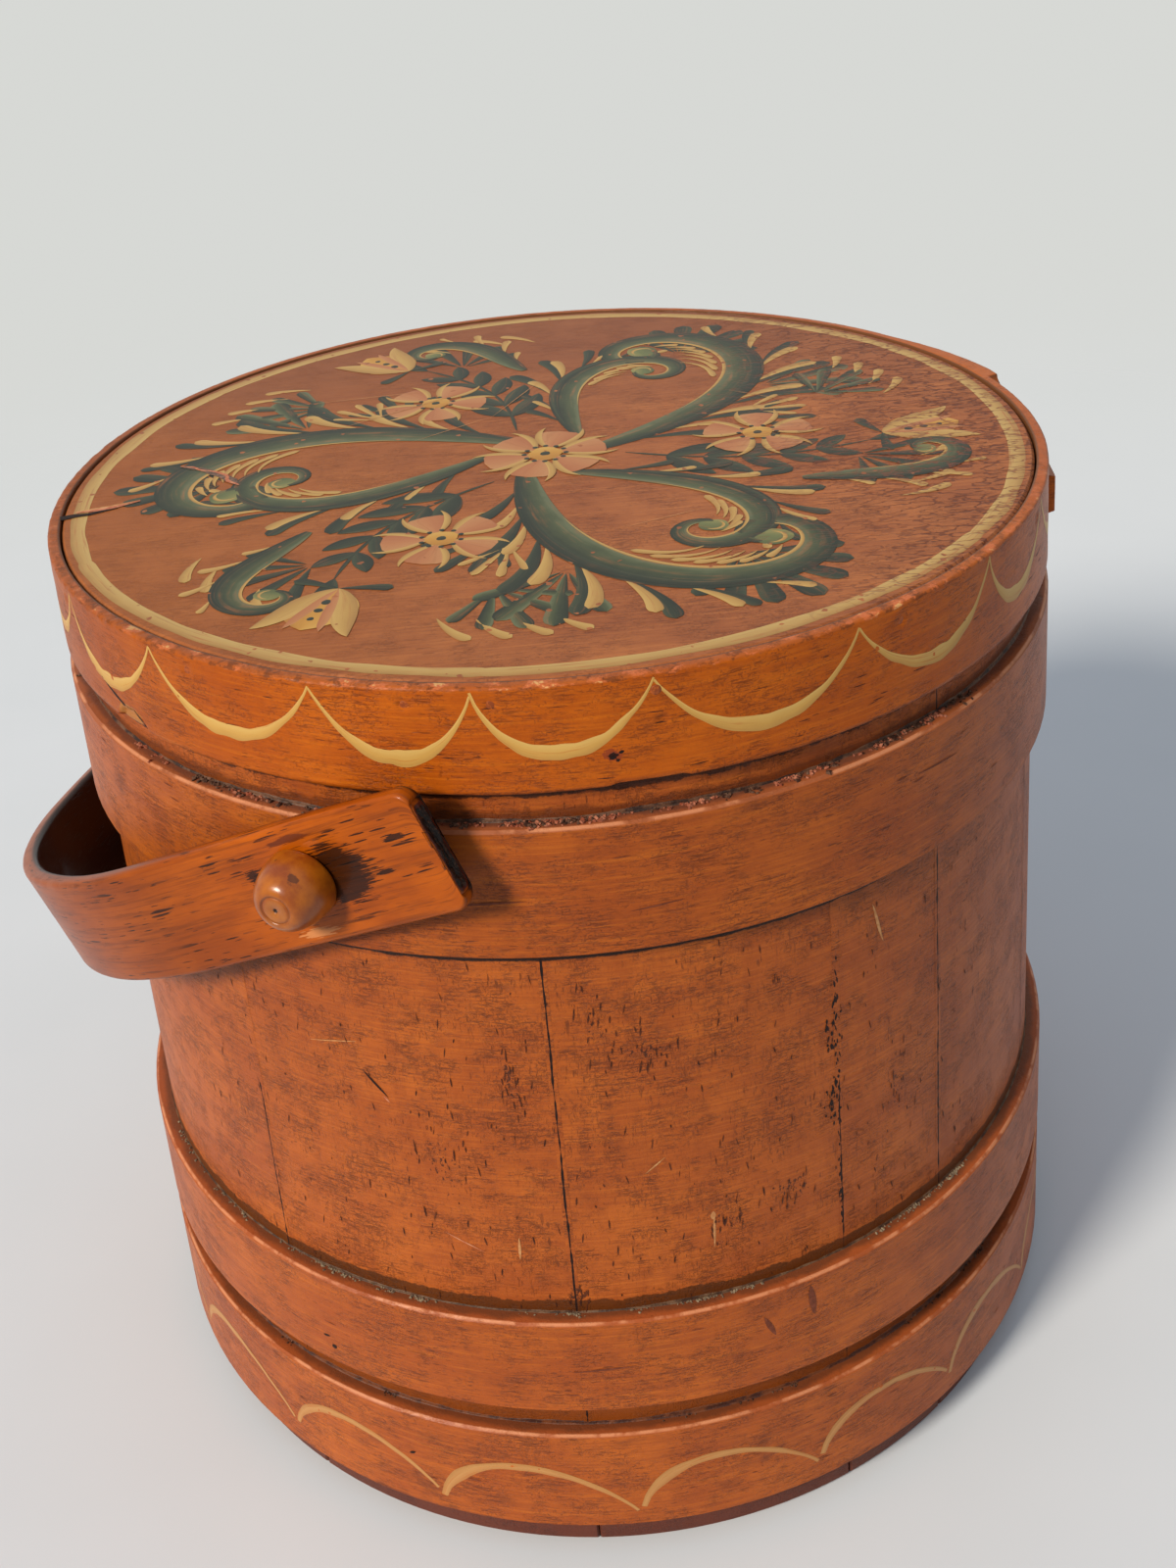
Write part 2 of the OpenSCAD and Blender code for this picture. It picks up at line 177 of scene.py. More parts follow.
def linear(code, alpha=1.0):
    """An sRGB hex colour as linear values."""
    parts = [int(code[i:i + 2], 16) / 255 for i in (1, 3, 5)]
    return tuple(c / 12.92 if c <= 0.04045 else ((c + 0.055) / 1.055) ** 2.4 for c in parts) + (alpha,)


def add(tree, kind, links=None, **settings):
    """Adds a node: settings are its properties, and links give each input a value or a socket."""
    node = tree.nodes.new(kind)
    for name, value in settings.items():
        setattr(node, name, value)
    for key, value in (links or {}).items():
        socket = node.inputs[key]
        if isinstance(value, bpy.types.NodeSocket):
            tree.links.new(value, socket)
        else:
            socket.default_value = value
    return node


def new_material(name):
    """An empty node material with its shader and output, and Object coordinates in millimetres."""
    material = bpy.data.materials.new(name)
    material.use_nodes = True
    tree = material.node_tree
    tree.nodes.clear()
    output = add(tree, "ShaderNodeOutputMaterial")
    shader = add(tree, "ShaderNodeBsdfPrincipled")
    tree.links.new(shader.outputs[0], output.inputs["Surface"])
    place = add(tree, "ShaderNodeTexCoord").outputs["Object"]
    in_mm = add(tree, "ShaderNodeVectorMath", {0: place, 1: (1000, 1000, 1000)}, operation="MULTIPLY")
    return material, tree, shader, in_mm.outputs[0]


def finish(tree, shader, colour, height, depth, roughness, gloss=0.35, coat=0.0, coat_roughness=0.2):
    """Joins colour and relief to the shader, and sets what is the same all over. depth is the relief's
    height in millimetres."""
    tree.links.new(colour, shader.inputs["Base Color"])
    bump = add(tree, "ShaderNodeBump", {"Height": height, "Distance": depth * MM, "Strength": 1.0})
    tree.links.new(bump.outputs[0], shader.inputs["Normal"])
    shader.inputs["Roughness"].default_value = roughness
    shader.inputs["Specular IOR Level"].default_value = gloss
    shader.inputs["Coat Weight"].default_value = coat
    shader.inputs["Coat Roughness"].default_value = coat_roughness


def maths(tree, operation, a, b=0.0, hold=False):
    """One arithmetic step."""
    return add(tree, "ShaderNodeMath", {0: a, 1: b}, operation=operation, use_clamp=hold).outputs[0]


def times(tree, *values):
    """The product of values or sockets."""
    made = values[0]
    for value in values[1:]:
        made = maths(tree, "MULTIPLY", made, value)
    return made


def band(tree, value, low, high, to_low=0.0, to_high=1.0):
    """Maps a value from one range to another, smoothly, and held at the ends."""
    made = add(tree, "ShaderNodeMapRange", {
        "Value": value, "From Min": low, "From Max": high, "To Min": to_low, "To Max": to_high},
        interpolation_type="SMOOTHSTEP")
    return made.outputs[0]


def between(tree, value, low, high, soft):
    """1 where a value lies between two limits, with soft ends."""
    return times(tree, band(tree, value, low - soft, low + soft), band(tree, value, high + soft, high - soft))


def mixed(tree, share, first, second):
    """Mixes two colours, each a hex code or a socket."""
    first = linear(first) if isinstance(first, str) else first
    second = linear(second) if isinstance(second, str) else second
    return add(tree, "ShaderNodeMix", {0: share, 6: first, 7: second}, data_type="RGBA").outputs[2]


def grain(tree, place, sizes, detail=3.0, rough=0.55, turn=0.0, shift=0.0):
    """Noise whose marks measure about these millimetres along each axis, as a value from 0 to 1."""
    fitted = add(tree, "ShaderNodeMapping", {
        "Vector": place, "Location": (shift, shift, shift), "Rotation": (0, 0, -math.radians(turn))})
    scaled = add(tree, "ShaderNodeVectorMath", {0: fitted.outputs[0], 1: tuple(1 / s for s in sizes)},
                 operation="MULTIPLY")
    made = add(tree, "ShaderNodeTexNoise", {"Vector": scaled.outputs[0], "Scale": 1.0, "Detail": detail,
                                            "Roughness": rough})
    return made.outputs["Fac"]


def flecks(tree, place, cell, share, fat=0.3, turn=0.0, shift=0.0):
    """Scattered marks, one at most in each cell of these millimetres along each axis. Only a share of the
    cells holds one, and fat is how much of its cell the largest fills."""
    fitted = add(tree, "ShaderNodeMapping", {
        "Vector": place, "Location": (shift, shift, shift), "Rotation": (0, 0, -math.radians(turn))})
    scaled = add(tree, "ShaderNodeVectorMath", {0: fitted.outputs[0], 1: tuple(1 / s for s in cell)},
                 operation="MULTIPLY")
    ragged = add(tree, "ShaderNodeTexNoise", {"Vector": scaled.outputs[0], "Scale": 2.6, "Detail": 2.0})
    bent = add(tree, "ShaderNodeVectorMath", {0: ragged.outputs["Color"], 1: (0.45, 0.45, 0.45)},
               operation="MULTIPLY")
    moved = add(tree, "ShaderNodeVectorMath", {0: scaled.outputs[0], 1: bent.outputs[0]}, operation="ADD")
    cells = add(tree, "ShaderNodeTexVoronoi", {"Vector": moved.outputs[0], "Scale": 1.0, "Randomness": 1.0})
    dice = add(tree, "ShaderNodeSeparateColor", {0: cells.outputs["Color"]})
    reach = times(tree, dice.outputs[0], fat)
    inside = band(tree, maths(tree, "SUBTRACT", reach, cells.outputs["Distance"]), 0.0, 0.07)
    return times(tree, inside, band(tree, dice.outputs[1], share + 0.01, share - 0.01))


def spot(tree, place, centre, sizes, ragged=0.5, marks=(3, 3, 3)):
    """One ragged mark about a point, with its half sizes in millimetres."""
    away = add(tree, "ShaderNodeVectorMath", {0: place, 1: tuple(centre)}, operation="SUBTRACT")
    scaled = add(tree, "ShaderNodeVectorMath", {0: away.outputs[0], 1: tuple(1 / s for s in sizes)},
                 operation="MULTIPLY")
    far = add(tree, "ShaderNodeVectorMath", {0: scaled.outputs[0]}, operation="LENGTH").outputs["Value"]
    rough = maths(tree, "SUBTRACT", grain(tree, place, marks, 3.0, 0.6), 0.5)
    return band(tree, maths(tree, "ADD", far, times(tree, rough, ragged * 4)), 1.1, 0.9)


def specks(tree, place, centre, sizes, dense=0.56, bits=0.9):
    """A loose cloud of specks about a point, with its half sizes in millimetres."""
    away = add(tree, "ShaderNodeVectorMath", {0: place, 1: tuple(centre)}, operation="SUBTRACT")
    scaled = add(tree, "ShaderNodeVectorMath", {0: away.outputs[0], 1: tuple(1 / s for s in sizes)},
                 operation="MULTIPLY")
    far = add(tree, "ShaderNodeVectorMath", {0: scaled.outputs[0]}, operation="LENGTH").outputs["Value"]
    marks = grain(tree, place, (bits, bits, 1.8 * bits), 3.0, 0.7, 0.0, 61.0)
    return band(tree, maths(tree, "SUBTRACT", marks, times(tree, far, 0.12)), dense - 0.04, dense + 0.04)


def radius_of(tree, place):
    """Distance from the bucket's axis, in millimetres."""
    flat = add(tree, "ShaderNodeVectorMath", {0: place, 1: (1, 1, 0)}, operation="MULTIPLY")
    return add(tree, "ShaderNodeVectorMath", {0: flat.outputs[0]}, operation="LENGTH").outputs["Value"]


def height_of(tree, place):
    """Height above the floor, in millimetres."""
    return add(tree, "ShaderNodeSeparateXYZ", {0: place}).outputs[2]


def across(tree, place, turn=0.0):
    """Distance from the bucket's axis, in millimetres, towards the photograph's right, or turned left from it
    by these degrees."""
    a = math.radians(VIEW_TURN + turn)
    return add(tree, "ShaderNodeVectorMath", {0: place, 1: (math.cos(a), math.sin(a), 0)},
               operation="DOT_PRODUCT").outputs["Value"]


def facing(tree, place, angle, near, far):
    """1 within near degrees of an angle round the bucket, fading to 0 at far degrees."""
    flat = add(tree, "ShaderNodeVectorMath", {0: place, 1: (1, 1, 0)}, operation="MULTIPLY")
    unit = add(tree, "ShaderNodeVectorMath", {0: flat.outputs[0]}, operation="NORMALIZE")
    a = math.radians(angle)
    dot = add(tree, "ShaderNodeVectorMath", {0: unit.outputs[0], 1: (math.sin(a), -math.cos(a), 0)},
              operation="DOT_PRODUCT").outputs["Value"]
    return band(tree, dot, math.cos(math.radians(far)), math.cos(math.radians(near)))


def paint_on_wood(tree, place, main, lighter, darker, along, turn=0.0, shift=0.0):
    """Colour and relief of an old oil paint brushed thin over wood. along is "up" for upright grain, "round"
    for grain round the bucket, "flat" for a board seen from above. The pores are drawn at twice their real
    width, so that they show."""
    pores = {"up": (0.8, 0.8, 3.6), "round": (3.8, 3.8, 0.6), "flat": (5.0, 0.7, 5.0)}[along]
    brush = {"up": (30, 30, 0.7), "round": (36, 36, 0.9), "flat": (34, 1.1, 34)}[along]
    streak = {"up": (3.4, 3.4, 0.5), "round": (5.0, 5.0, 0.55), "flat": (5.0, 0.6, 5.0)}[along]
    figure = {"up": (5, 5, 60), "round": (60, 60, 4), "flat": (70, 5, 70)}[along]
    cloud = grain(tree, place, (36, 36, 30), 4.0, 0.6, 0.0, shift)
    mottle = grain(tree, place, (7, 7, 5), 4.0, 0.65, 0.0, shift + 15.0)
    rings = grain(tree, place, figure, 3.0, 0.6, turn, shift + 4.0)
    lines = grain(tree, place, brush, 3.0, 0.65, turn, shift + 7.0)
    patch = grain(tree, place, (22, 22, 18), 3.0, 0.6, 0.0, shift + 90.0)
    colour = mixed(tree, band(tree, cloud, 0.3, 0.72), darker, lighter)
    colour = mixed(tree, 0.45, colour, main)
    colour = mixed(tree, band(tree, rings, 0.42, 0.72, 0.0, 0.4), colour, darker)
    colour = mixed(tree, band(tree, mottle, 0.46, 0.66, 0.0, 0.3), colour, darker)
    colour = mixed(tree, band(tree, lines, 0.46, 0.66, 0.0, 0.45), colour, darker)
    colour = mixed(tree, band(tree, lines, 0.47, 0.3, 0.0, 0.6), colour, lighter)
    # Pores that stay open, fine dry streaks of the brush, and a stipple where the paint is thin
    worn = times(tree, flecks(tree, place, pores, 0.4, 0.36, turn, shift), band(tree, patch, 0.42, 0.62, 0.2, 0.8))
    bold = flecks(tree, place, tuple(2.2 * p for p in pores), 0.2, 0.3, turn, shift + 50.0)
    worn = maths(tree, "MAXIMUM", worn, times(tree, bold, band(tree, patch, 0.46, 0.66, 0.1, 0.9)))
    for sizes, low, high, strength in ((streak, 0.49, 0.64, 0.85), (pores, 0.54, 0.66, 0.7),
                                       ((0.8, 0.8, 0.8), 0.53, 0.64, 0.7), ((1.7, 1.7, 1.5), 0.58, 0.67, 0.6)):
        marks = band(tree, grain(tree, place, sizes, 3.0, 0.75, turn, shift + 30.0), low, high, 0.0, strength)
        where = grain(tree, place, (12, 12, 9), 3.0, 0.65, 0.0, shift + 100 * high)
        worn = maths(tree, "MAXIMUM", worn, times(tree, marks, band(tree, where, 0.4, 0.6, 0.2, 1.0)))
    relief = maths(tree, "SUBTRACT", times(tree, lines, 0.45), worn)
    return colour, relief, worn


# Finishes

# Clouds of dark specks on the front staves: angle, height, half sizes, and how sparse they are
STAVE_SPECKS = ((16.5, 184, (2.2, 2.2, 7), 0.50), (31, 189, (5, 5, 5), 0.52), (26, 196, (4, 4, 6), 0.56),
                (46, 131, (6, 6, 3.5), 0.50), (38, 126, (7, 7, 3), 0.52), (8, 152, (7, 7, 14), 0.56),
                (21.5, 105, (2.5, 2.5, 4), 0.46), (60, 150, (5, 5, 12), 0.55))


def painted_pine(shift):
    """Staves: thin red-brown oil paint on pine, with brush lines round the bucket, open pores showing black,
    and a brown varnish that has pooled above each hoop. Dark bands under the rim and under the upper hoop are
    painted shadow. It gives a warm, dry, slightly streaked face. shift moves the pattern, so that
    neighbouring staves differ."""
    material, tree, shader, place = new_material("painted_pine_%d" % shift)
    z = height_of(tree, place)
    colour, relief, worn = paint_on_wood(tree, place, "#B85A1C", "#C46822", "#984618", "up", 0.0, shift * 130.0)
    colour = mixed(tree, times(tree, worn, 0.72), colour, "#3C1C10")
    for angle, level, sizes, dense in STAVE_SPECKS:
        middle = round_point(angle, level, stave_radius(level)) / MM
        colour = mixed(tree, times(tree, specks(tree, place, middle, sizes, dense), 0.85), colour, "#3A1C12")
    smudge = grain(tree, place, (11, 11, 7), 3.0, 0.6, 0.0, 200.0 + shift)
    colour = mixed(tree, band(tree, smudge, 0.56, 0.8, 0.0, 0.4), colour, "#73391C")
    edge = grain(tree, place, (9, 9, 9), 4.0, 0.7, 0.0, 12.0)
    uneven = times(tree, maths(tree, "SUBTRACT", edge, 0.5), 5.0)
    level = maths(tree, "ADD", z, uneven)
    for name, reach, tint in (("middle_hoop", 4.6, "#4E2708"), ("bottom_hoop", 20.0, "#7E3C0E")):
        top = HOOP_LEVELS[name][1]
        colour = mixed(tree, times(tree, between(tree, level, top - 6, top + reach, 0.25), 0.86), colour, tint)
    # The staves from just under the rim's lower edge upwards are painted near black: painted shadow of the rim.
    colour = mixed(tree, times(tree, band(tree, level, RIM_LOW - 3.2, RIM_LOW - 2.6), 0.85), colour, "#2E140A")
    # A ragged dark band on the staves along the upper hoop's lower edge: painted shadow of the hoop.
    under = HOOP_LEVELS["upper_hoop"]
    ragged = maths(tree, "ADD", z, times(tree, maths(tree, "SUBTRACT", edge, 0.5), 2.0))
    colour = mixed(tree, between(tree, ragged, under[0] - 3.5, under[0] + 3, 0.3), colour, "#2A130A")
    colour = mixed(tree, times(tree, between(tree, level, under[1] - 2, under[1] + 3.0, 0.8), 0.7), colour, "#5A2A12")
    foot = band(tree, level, 15.5, 12.5)
    colour = mixed(tree, times(tree, foot, 0.9), colour, "#5A2D24")
    inside = band(tree, maths(tree, "ADD", radius_of(tree, place), times(tree, z, STAVE_SLOPE)),
                  FOOT_RADIUS - 1.0, FOOT_RADIUS - 1.8)
    bare = mixed(tree, band(tree, grain(tree, place, (1.4, 1.4, 40), 3.0, 0.6), 0.35, 0.7), "#B98A5A", "#8F6238")
    colour = mixed(tree, inside, colour, bare)
    finish(tree, shader, colour, relief, 0.14, 0.42, 0.22)
    return material


def painted_hoop():
    """Hoops: the same paint over bent ash, thicker and smoother, with the grain round the band, top faces and
    edges made a brighter red, partly rubbed paint and partly painted highlight, lower edges painted dark as
    shade, and dark thumbed patches. It gives a satin band."""
    material, tree, shader, place = new_material("painted_hoop")
    z = height_of(tree, place)
    colour, relief, worn = paint_on_wood(tree, place, "#B85818", "#C4681E", "#96461A", "round")
    colour = mixed(tree, times(tree, worn, 0.8), colour, "#4A200E")
    smudge = grain(tree, place, (16, 16, 8), 4.0, 0.65, 0.0, 3.0)
    colour = mixed(tree, band(tree, smudge, 0.54, 0.78, 0.0, 0.6), colour, "#6B3318")
    edge = grain(tree, place, (12, 12, 12), 4.0, 0.65, 0.0, 77.0)
    slip = maths(tree, "ADD", radius_of(tree, place), times(tree, z, STAVE_SLOPE))
    for name, (low, high) in HOOP_LEVELS.items():
        thick = HOOP_THICK[name]
        # Each hoop's top face is painted a paler red: partly rubbed paint, partly painted highlight.
        on_top = between(tree, z, high - 0.75, high + 0.8, 0.25)
        bright, dirt = ("#A35A35", "#6B3F2E") if name == "upper_hoop" else ("#A4522A", "#6A3A22")
        colour = mixed(tree, times(tree, on_top, 0.85), colour, bright)
        inner = band(tree, maths(tree, "SUBTRACT", slip, times(tree, maths(tree, "SUBTRACT", edge, 0.5), 5.0)),
                     FOOT_RADIUS + thick * 0.75, FOOT_RADIUS + thick * 0.3)
        colour = mixed(tree, times(tree, on_top, inner, 0.8), colour, dirt)
        # A pale pinkish line along each hoop's outer top corner: rubbed paint and a painted highlight.
        corner = times(tree, between(tree, z, high - 1.0, high + 0.4, 0.2),
                       between(tree, slip, FOOT_RADIUS + thick - 1.05, FOOT_RADIUS + thick - 0.25, 0.2))
        colour = mixed(tree, times(tree, corner, band(tree, edge, 0.4, 0.56), 0.8), colour, "#DA8E62")
        # Each hoop's lower edge is painted dark: painted shade under the band.
        colour = mixed(tree, times(tree, between(tree, z, low - 1, low + 0.7, 0.3), 0.8), colour, "#3A1A10")
    finish(tree, shader, colour, relief, 0.09, 0.4, 0.2)
    return material


def crazing(tree, place):
    """Short wavy cracks of shrunken paint, which fade in towards the right-hand edge of the lid."""
    patch = grain(tree, place, (26, 26, 26), 4.0, 0.6)
    side = band(tree, maths(tree, "ADD", across(tree, place), times(tree, patch, 90)), 70, 165)
    bent = grain(tree, place, (7.0, 2.8, 4), 2.0, 0.5, VIEW_TURN, 3.0)
    lines = band(tree, maths(tree, "ABSOLUTE", maths(tree, "SUBTRACT", bent, 0.5)), 0.05, 0.01)
    return times(tree, lines, side)


def lid_paint():
    """Lid board: dull terracotta oil paint, brushed along the board, crazed into short cracks at one side
    and browned by dirt towards its far edge. It gives a dry, flat face under the brushed design."""
    material, tree, shader, place = new_material("lid_paint")
    colour, relief, worn = paint_on_wood(tree, place, "#B06638", "#BE7440", "#92502E", "flat", VIEW_TURN)
    colour = mixed(tree, times(tree, worn, 0.75), colour, "#5E3020")
    colour = mixed(tree, band(tree, across(tree, place), 40, -130, 0.0, 0.5), colour, "#9A541C")
    dirt = maths(tree, "ADD", across(tree, place, 90.0), times(tree, grain(tree, place, (40, 40, 40)), 60))
    colour = mixed(tree, band(tree, dirt, 40, 150, 0.0, 0.6), colour, "#804A30")
    craze = crazing(tree, place)
    colour = mixed(tree, times(tree, craze, 0.8), colour, "#5E2C1C")
    finish(tree, shader, colour, maths(tree, "SUBTRACT", times(tree, relief, 0.4), craze), 0.2, 0.5, 0.2)
    return material


def rim_paint():
    """Lid rim: red-brown paint with a satin varnish over a thin bent band, worn along its top edge to bare
    wood and dark dirt at the front left, with pale flecks on that edge that are partly a painted highlight,
    painted shade along its lower edge, and its left side painted darker as shade. It gives a smooth band with
    fine level streaks."""
    material, tree, shader, place = new_material("rim_paint")
    z = height_of(tree, place)
    colour, relief, worn = paint_on_wood(tree, place, "#C25C0C", "#D06C12", "#A84C0E", "round", 0.0, 400.0)
    colour = mixed(tree, times(tree, worn, 0.8), colour, "#5A260C")
    edge = grain(tree, place, (4, 4, 4), 4.0, 0.7, 0.0, 21.0)
    flakes = grain(tree, place, (6, 6, 2.5), 4.0, 0.7, 0.0, 9.0)
    front = facing(tree, place, 12, 50, 100)
    top = band(tree, maths(tree, "ADD", z, times(tree, maths(tree, "SUBTRACT", edge, 0.5), 2.2)),
               RIM_TOP - 1.1, RIM_TOP - 0.5)
    colour = mixed(tree, times(tree, top, 0.5), colour, "#A85A2C")
    dark = times(tree, top, band(tree, edge, 0.5, 0.6), maths(tree, "ADD", times(tree, front, 0.55), 0.1))
    colour = mixed(tree, dark, colour, "#5E3014")
    pink = times(tree, top, band(tree, flakes, 0.52, 0.6), maths(tree, "ADD", times(tree, front, 0.9), 0.04))
    colour = mixed(tree, pink, colour, "#CC6C3C")
    # Pale gold flecks on the top edge, thickest at the front: bare wood where it is worn, and partly a painted
    # highlight on the rounded edge.
    gold = times(tree, top, band(tree, flakes, 0.62, 0.67), maths(tree, "ADD", times(tree, front, 1.0), 0.06))
    colour = mixed(tree, gold, colour, "#E2A868")
    # The rim's lower edge is painted darker, ragged by noise: painted shade along the edge.
    low = band(tree, maths(tree, "ADD", z, times(tree, maths(tree, "SUBTRACT", edge, 0.5), 1.6)),
               RIM_LOW + 1.0, RIM_LOW + 0.2)
    colour = mixed(tree, times(tree, low, 0.6), colour, "#5A2610")
    seat = band(tree, radius_of(tree, place), RIM_RADIUS_TOP - RIM_THICK + 0.9, RIM_RADIUS_TOP - RIM_THICK + 0.3)
    colour = mixed(tree, seat, colour, "#6B4022")
    chip = round_point(-24.5, 273.2, RIM_RADIUS_LOW) / MM
    # The rim's left side is painted darker: painted shade.
    colour = mixed(tree, times(tree, facing(tree, place, -62, 12, 62), 0.4), colour, "#74380F")
    raw = spot(tree, place, chip, (6.2, 6.2, 2.6), 0.25)
    colour = mixed(tree, raw, colour, "#B5712F")
    knot = round_point(29.6, 279.0, RIM_RADIUS_LOW) / MM
    colour = mixed(tree, spot(tree, place, knot, (2.2, 2.2, 1.6), 0.6, (1.6, 1.6, 1.6)), colour, "#94401C")
    colour = mixed(tree, spot(tree, place, knot, (1.3, 1.3, 1.0), 0.5, (1, 1, 1)), colour, "#2A0F08")
    finish(tree, shader, colour, relief, 0.08, 0.38, 0.16)
    return material


def bare_pine():
    """Bottom board: bare old pine, gone tan, with soft straight grain."""
    material, tree, shader, place = new_material("bare_pine")
    rings = grain(tree, place, (3.5, 70, 3.5), 4.0, 0.6)
    colour = mixed(tree, band(tree, rings, 0.35, 0.68), "#B98A5A", "#8C5F37")
    stain = grain(tree, place, (45, 45, 45), 3.0, 0.6)
    colour = mixed(tree, band(tree, stain, 0.55, 0.75, 0, 0.5), colour, "#5F3F27")
    finish(tree, shader, colour, rings, 0.15, 0.75)
    return material


def strap_varnish():
    """Handle: bent ash under red-brown paint and an amber varnish, so the open pores show as fine dark
    dashes along the strap, and wear shows pinkish on its edges. Gloss comes from the varnish."""
    material, tree, shader, place = new_material("strap_varnish")
    uv = add(tree, "ShaderNodeUVMap", uv_map="strap").outputs[0]
    cloud = grain(tree, uv, (34, 14, 10), 4.0, 0.6)
    lines = grain(tree, uv, (30, 1.1, 10), 4.0, 0.65, 0.0, 5.0)
    area = grain(tree, uv, (24, 8, 10), 3.0, 0.6, 0.0, 63.0)
    colour = mixed(tree, band(tree, cloud, 0.3, 0.7), "#9E4606", "#C05C04")
    colour = mixed(tree, band(tree, lines, 0.46, 0.66, 0, 0.6), colour, "#74340A")
    along = add(tree, "ShaderNodeSeparateXYZ", {0: uv}).outputs[0]
    colour = mixed(tree, between(tree, along, 80, 330, 32), colour, mixed(tree, 0.45, colour, "#6A3010"))
    dashes = maths(tree, "MAXIMUM", flecks(tree, uv, (7, 0.6, 9), 0.75, 0.42),
                   flecks(tree, uv, (20, 1.3, 9), 0.5, 0.4, 0.0, 21.0))
    dashes = times(tree, dashes, band(tree, area, 0.42, 0.58, 0.25, 1.0))
    colour = mixed(tree, times(tree, dashes, 0.92), colour, "#241008")
    # The worn corner of the grip, the black patch and flecks about the near peg, and the pale chips below it
    wear = add(tree, "ShaderNodeAttribute", attribute_name="wear").outputs["Fac"]
    ragged = grain(tree, place, (5, 5, 5), 4.0, 0.7)
    matt = times(tree, wear, band(tree, ragged, 0.42, 0.6))
    colour = mixed(tree, times(tree, matt, 0.6), colour, "#A05A3A")
    fibres = (7.0, 0.5, 9.0)
    for centre, sizes, ragged_by, tint in (
            ((30, 61.6, 0), (9.6, 8.4, 9), 0.5, "#140804"), ((55, 66.5, 0), (3.0, 2.4, 9), 0.8, "#1B0C07"),
            ((39, 74.2, 0), (7.0, 0.9, 9), 0.5, "#6A2C0C"), ((47, 47.4, 0), (6.0, 1.2, 9), 0.7, "#D88A50"),
            ((9, 67.0, 0), (4.0, 0.8, 9), 0.6, "#1B0C07"), ((17, 59.0, 0), (2.6, 0.7, 9), 0.6, "#1B0C07")):
        colour = mixed(tree, times(tree, spot(tree, uv, centre, sizes, ragged_by, fibres), 0.9), colour, tint)
    # The strap's inner face, towards the bucket, is painted near black: thick varnish and painted shade.
    inside = add(tree, "ShaderNodeAttribute", attribute_name="inside").outputs["Fac"]
    colour = mixed(tree, times(tree, inside, 0.96), colour, "#200B05")
    end = add(tree, "ShaderNodeAttribute", attribute_name="end").outputs["Fac"]
    varnish = band(tree, maths(tree, "ADD", end, times(tree, maths(tree, "SUBTRACT", ragged, 0.5), 0.5)), 0.2, 0.4)
    colour = mixed(tree, varnish, colour, "#4A1A12")
    black = band(tree, maths(tree, "ADD", end, times(tree, maths(tree, "SUBTRACT", ragged, 0.5), 0.8)), 0.6, 0.75)
    crumbly = grain(tree, place, (0.8, 0.8, 0.8), 3.0, 0.7)
    colour = mixed(tree, black, colour, mixed(tree, band(tree, crumbly, 0.5, 0.66), "#140A08", "#4E3020"))
    height = maths(tree, "SUBTRACT", times(tree, lines, 0.4), dashes)
    height = maths(tree, "ADD", height, times(tree, black, crumbly, 4.0))
    finish(tree, shader, colour, height, 0.12, 0.36, 0.14, 0.12, 0.12)
    return material


def peg_varnish():
    """Pegs: turned hardwood under thick glossy amber varnish, with a ring and a small hole left by the lathe
    in the flat tip, and a bruise at one side."""
    material, tree, shader, place = new_material("peg_varnish")
    cloud = grain(tree, place, (6, 6, 6), 4.0, 0.6)
    colour = mixed(tree, band(tree, cloud, 0.3, 0.7), "#8A3C04", "#B26008")
    spots = flecks(tree, place, (5, 5, 5), 0.3, 0.3)
    colour = mixed(tree, times(tree, spots, 0.7), colour, "#35140C")
    off = add(tree, "ShaderNodeVectorMath", {0: place, 1: (0, 0, PIVOT)}, operation="SUBTRACT")
    flat = add(tree, "ShaderNodeVectorMath", {0: off.outputs[0], 1: (1, 0, 1)}, operation="MULTIPLY")
    out = add(tree, "ShaderNodeVectorMath", {0: flat.outputs[0]}, operation="LENGTH").outputs["Value"]
    colour = mixed(tree, times(tree, between(tree, out, 3.6, 4.3, 0.3), 0.3), colour, "#5A260A")
    colour = mixed(tree, times(tree, band(tree, out, 3.4, 2.6), 0.35), colour, "#B4702C")
    colour = mixed(tree, band(tree, out, 0.75, 0.45), colour, "#2A0F06")
    bruise = (-8.2, -PEG_TIP + 7.0, PIVOT + 2.0)
    colour = mixed(tree, spot(tree, place, bruise, (2.2, 2.2, 2.4), 0.4, (2, 2, 2)), colour, "#D8804A")
    relief = maths(tree, "SUBTRACT", grain(tree, place, (0.6, 0.6, 0.6), 2.0),
                   times(tree, between(tree, out, 3.7, 4.1, 0.2), 3.0))
    finish(tree, shader, colour, relief, 0.03, 0.3, 0.35, 0.3, 0.2)
    return material


def old_iron():
    """Nails: small iron heads, painted over and rusted through, nearly black."""
    material, tree, shader, place = new_material("old_iron")
    rust = grain(tree, place, (0.8, 0.8, 0.8), 4.0, 0.7)
    colour = mixed(tree, band(tree, rust, 0.4, 0.62), "#3A211A", "#7A4028")
    finish(tree, shader, colour, rust, 0.2, 0.6)
    return material


def painted_iron():
    """Rim nails: iron heads sunk in small dimples and painted over with the rim, so only dark rings show."""
    material, tree, shader, place = new_material("painted_iron")
    rust = grain(tree, place, (1.0, 1.0, 1.0), 4.0, 0.7)
    colour = mixed(tree, band(tree, rust, 0.42, 0.6), "#8A3E12", "#B0561A")
    finish(tree, shader, colour, rust, 0.15, 0.45)
    return material


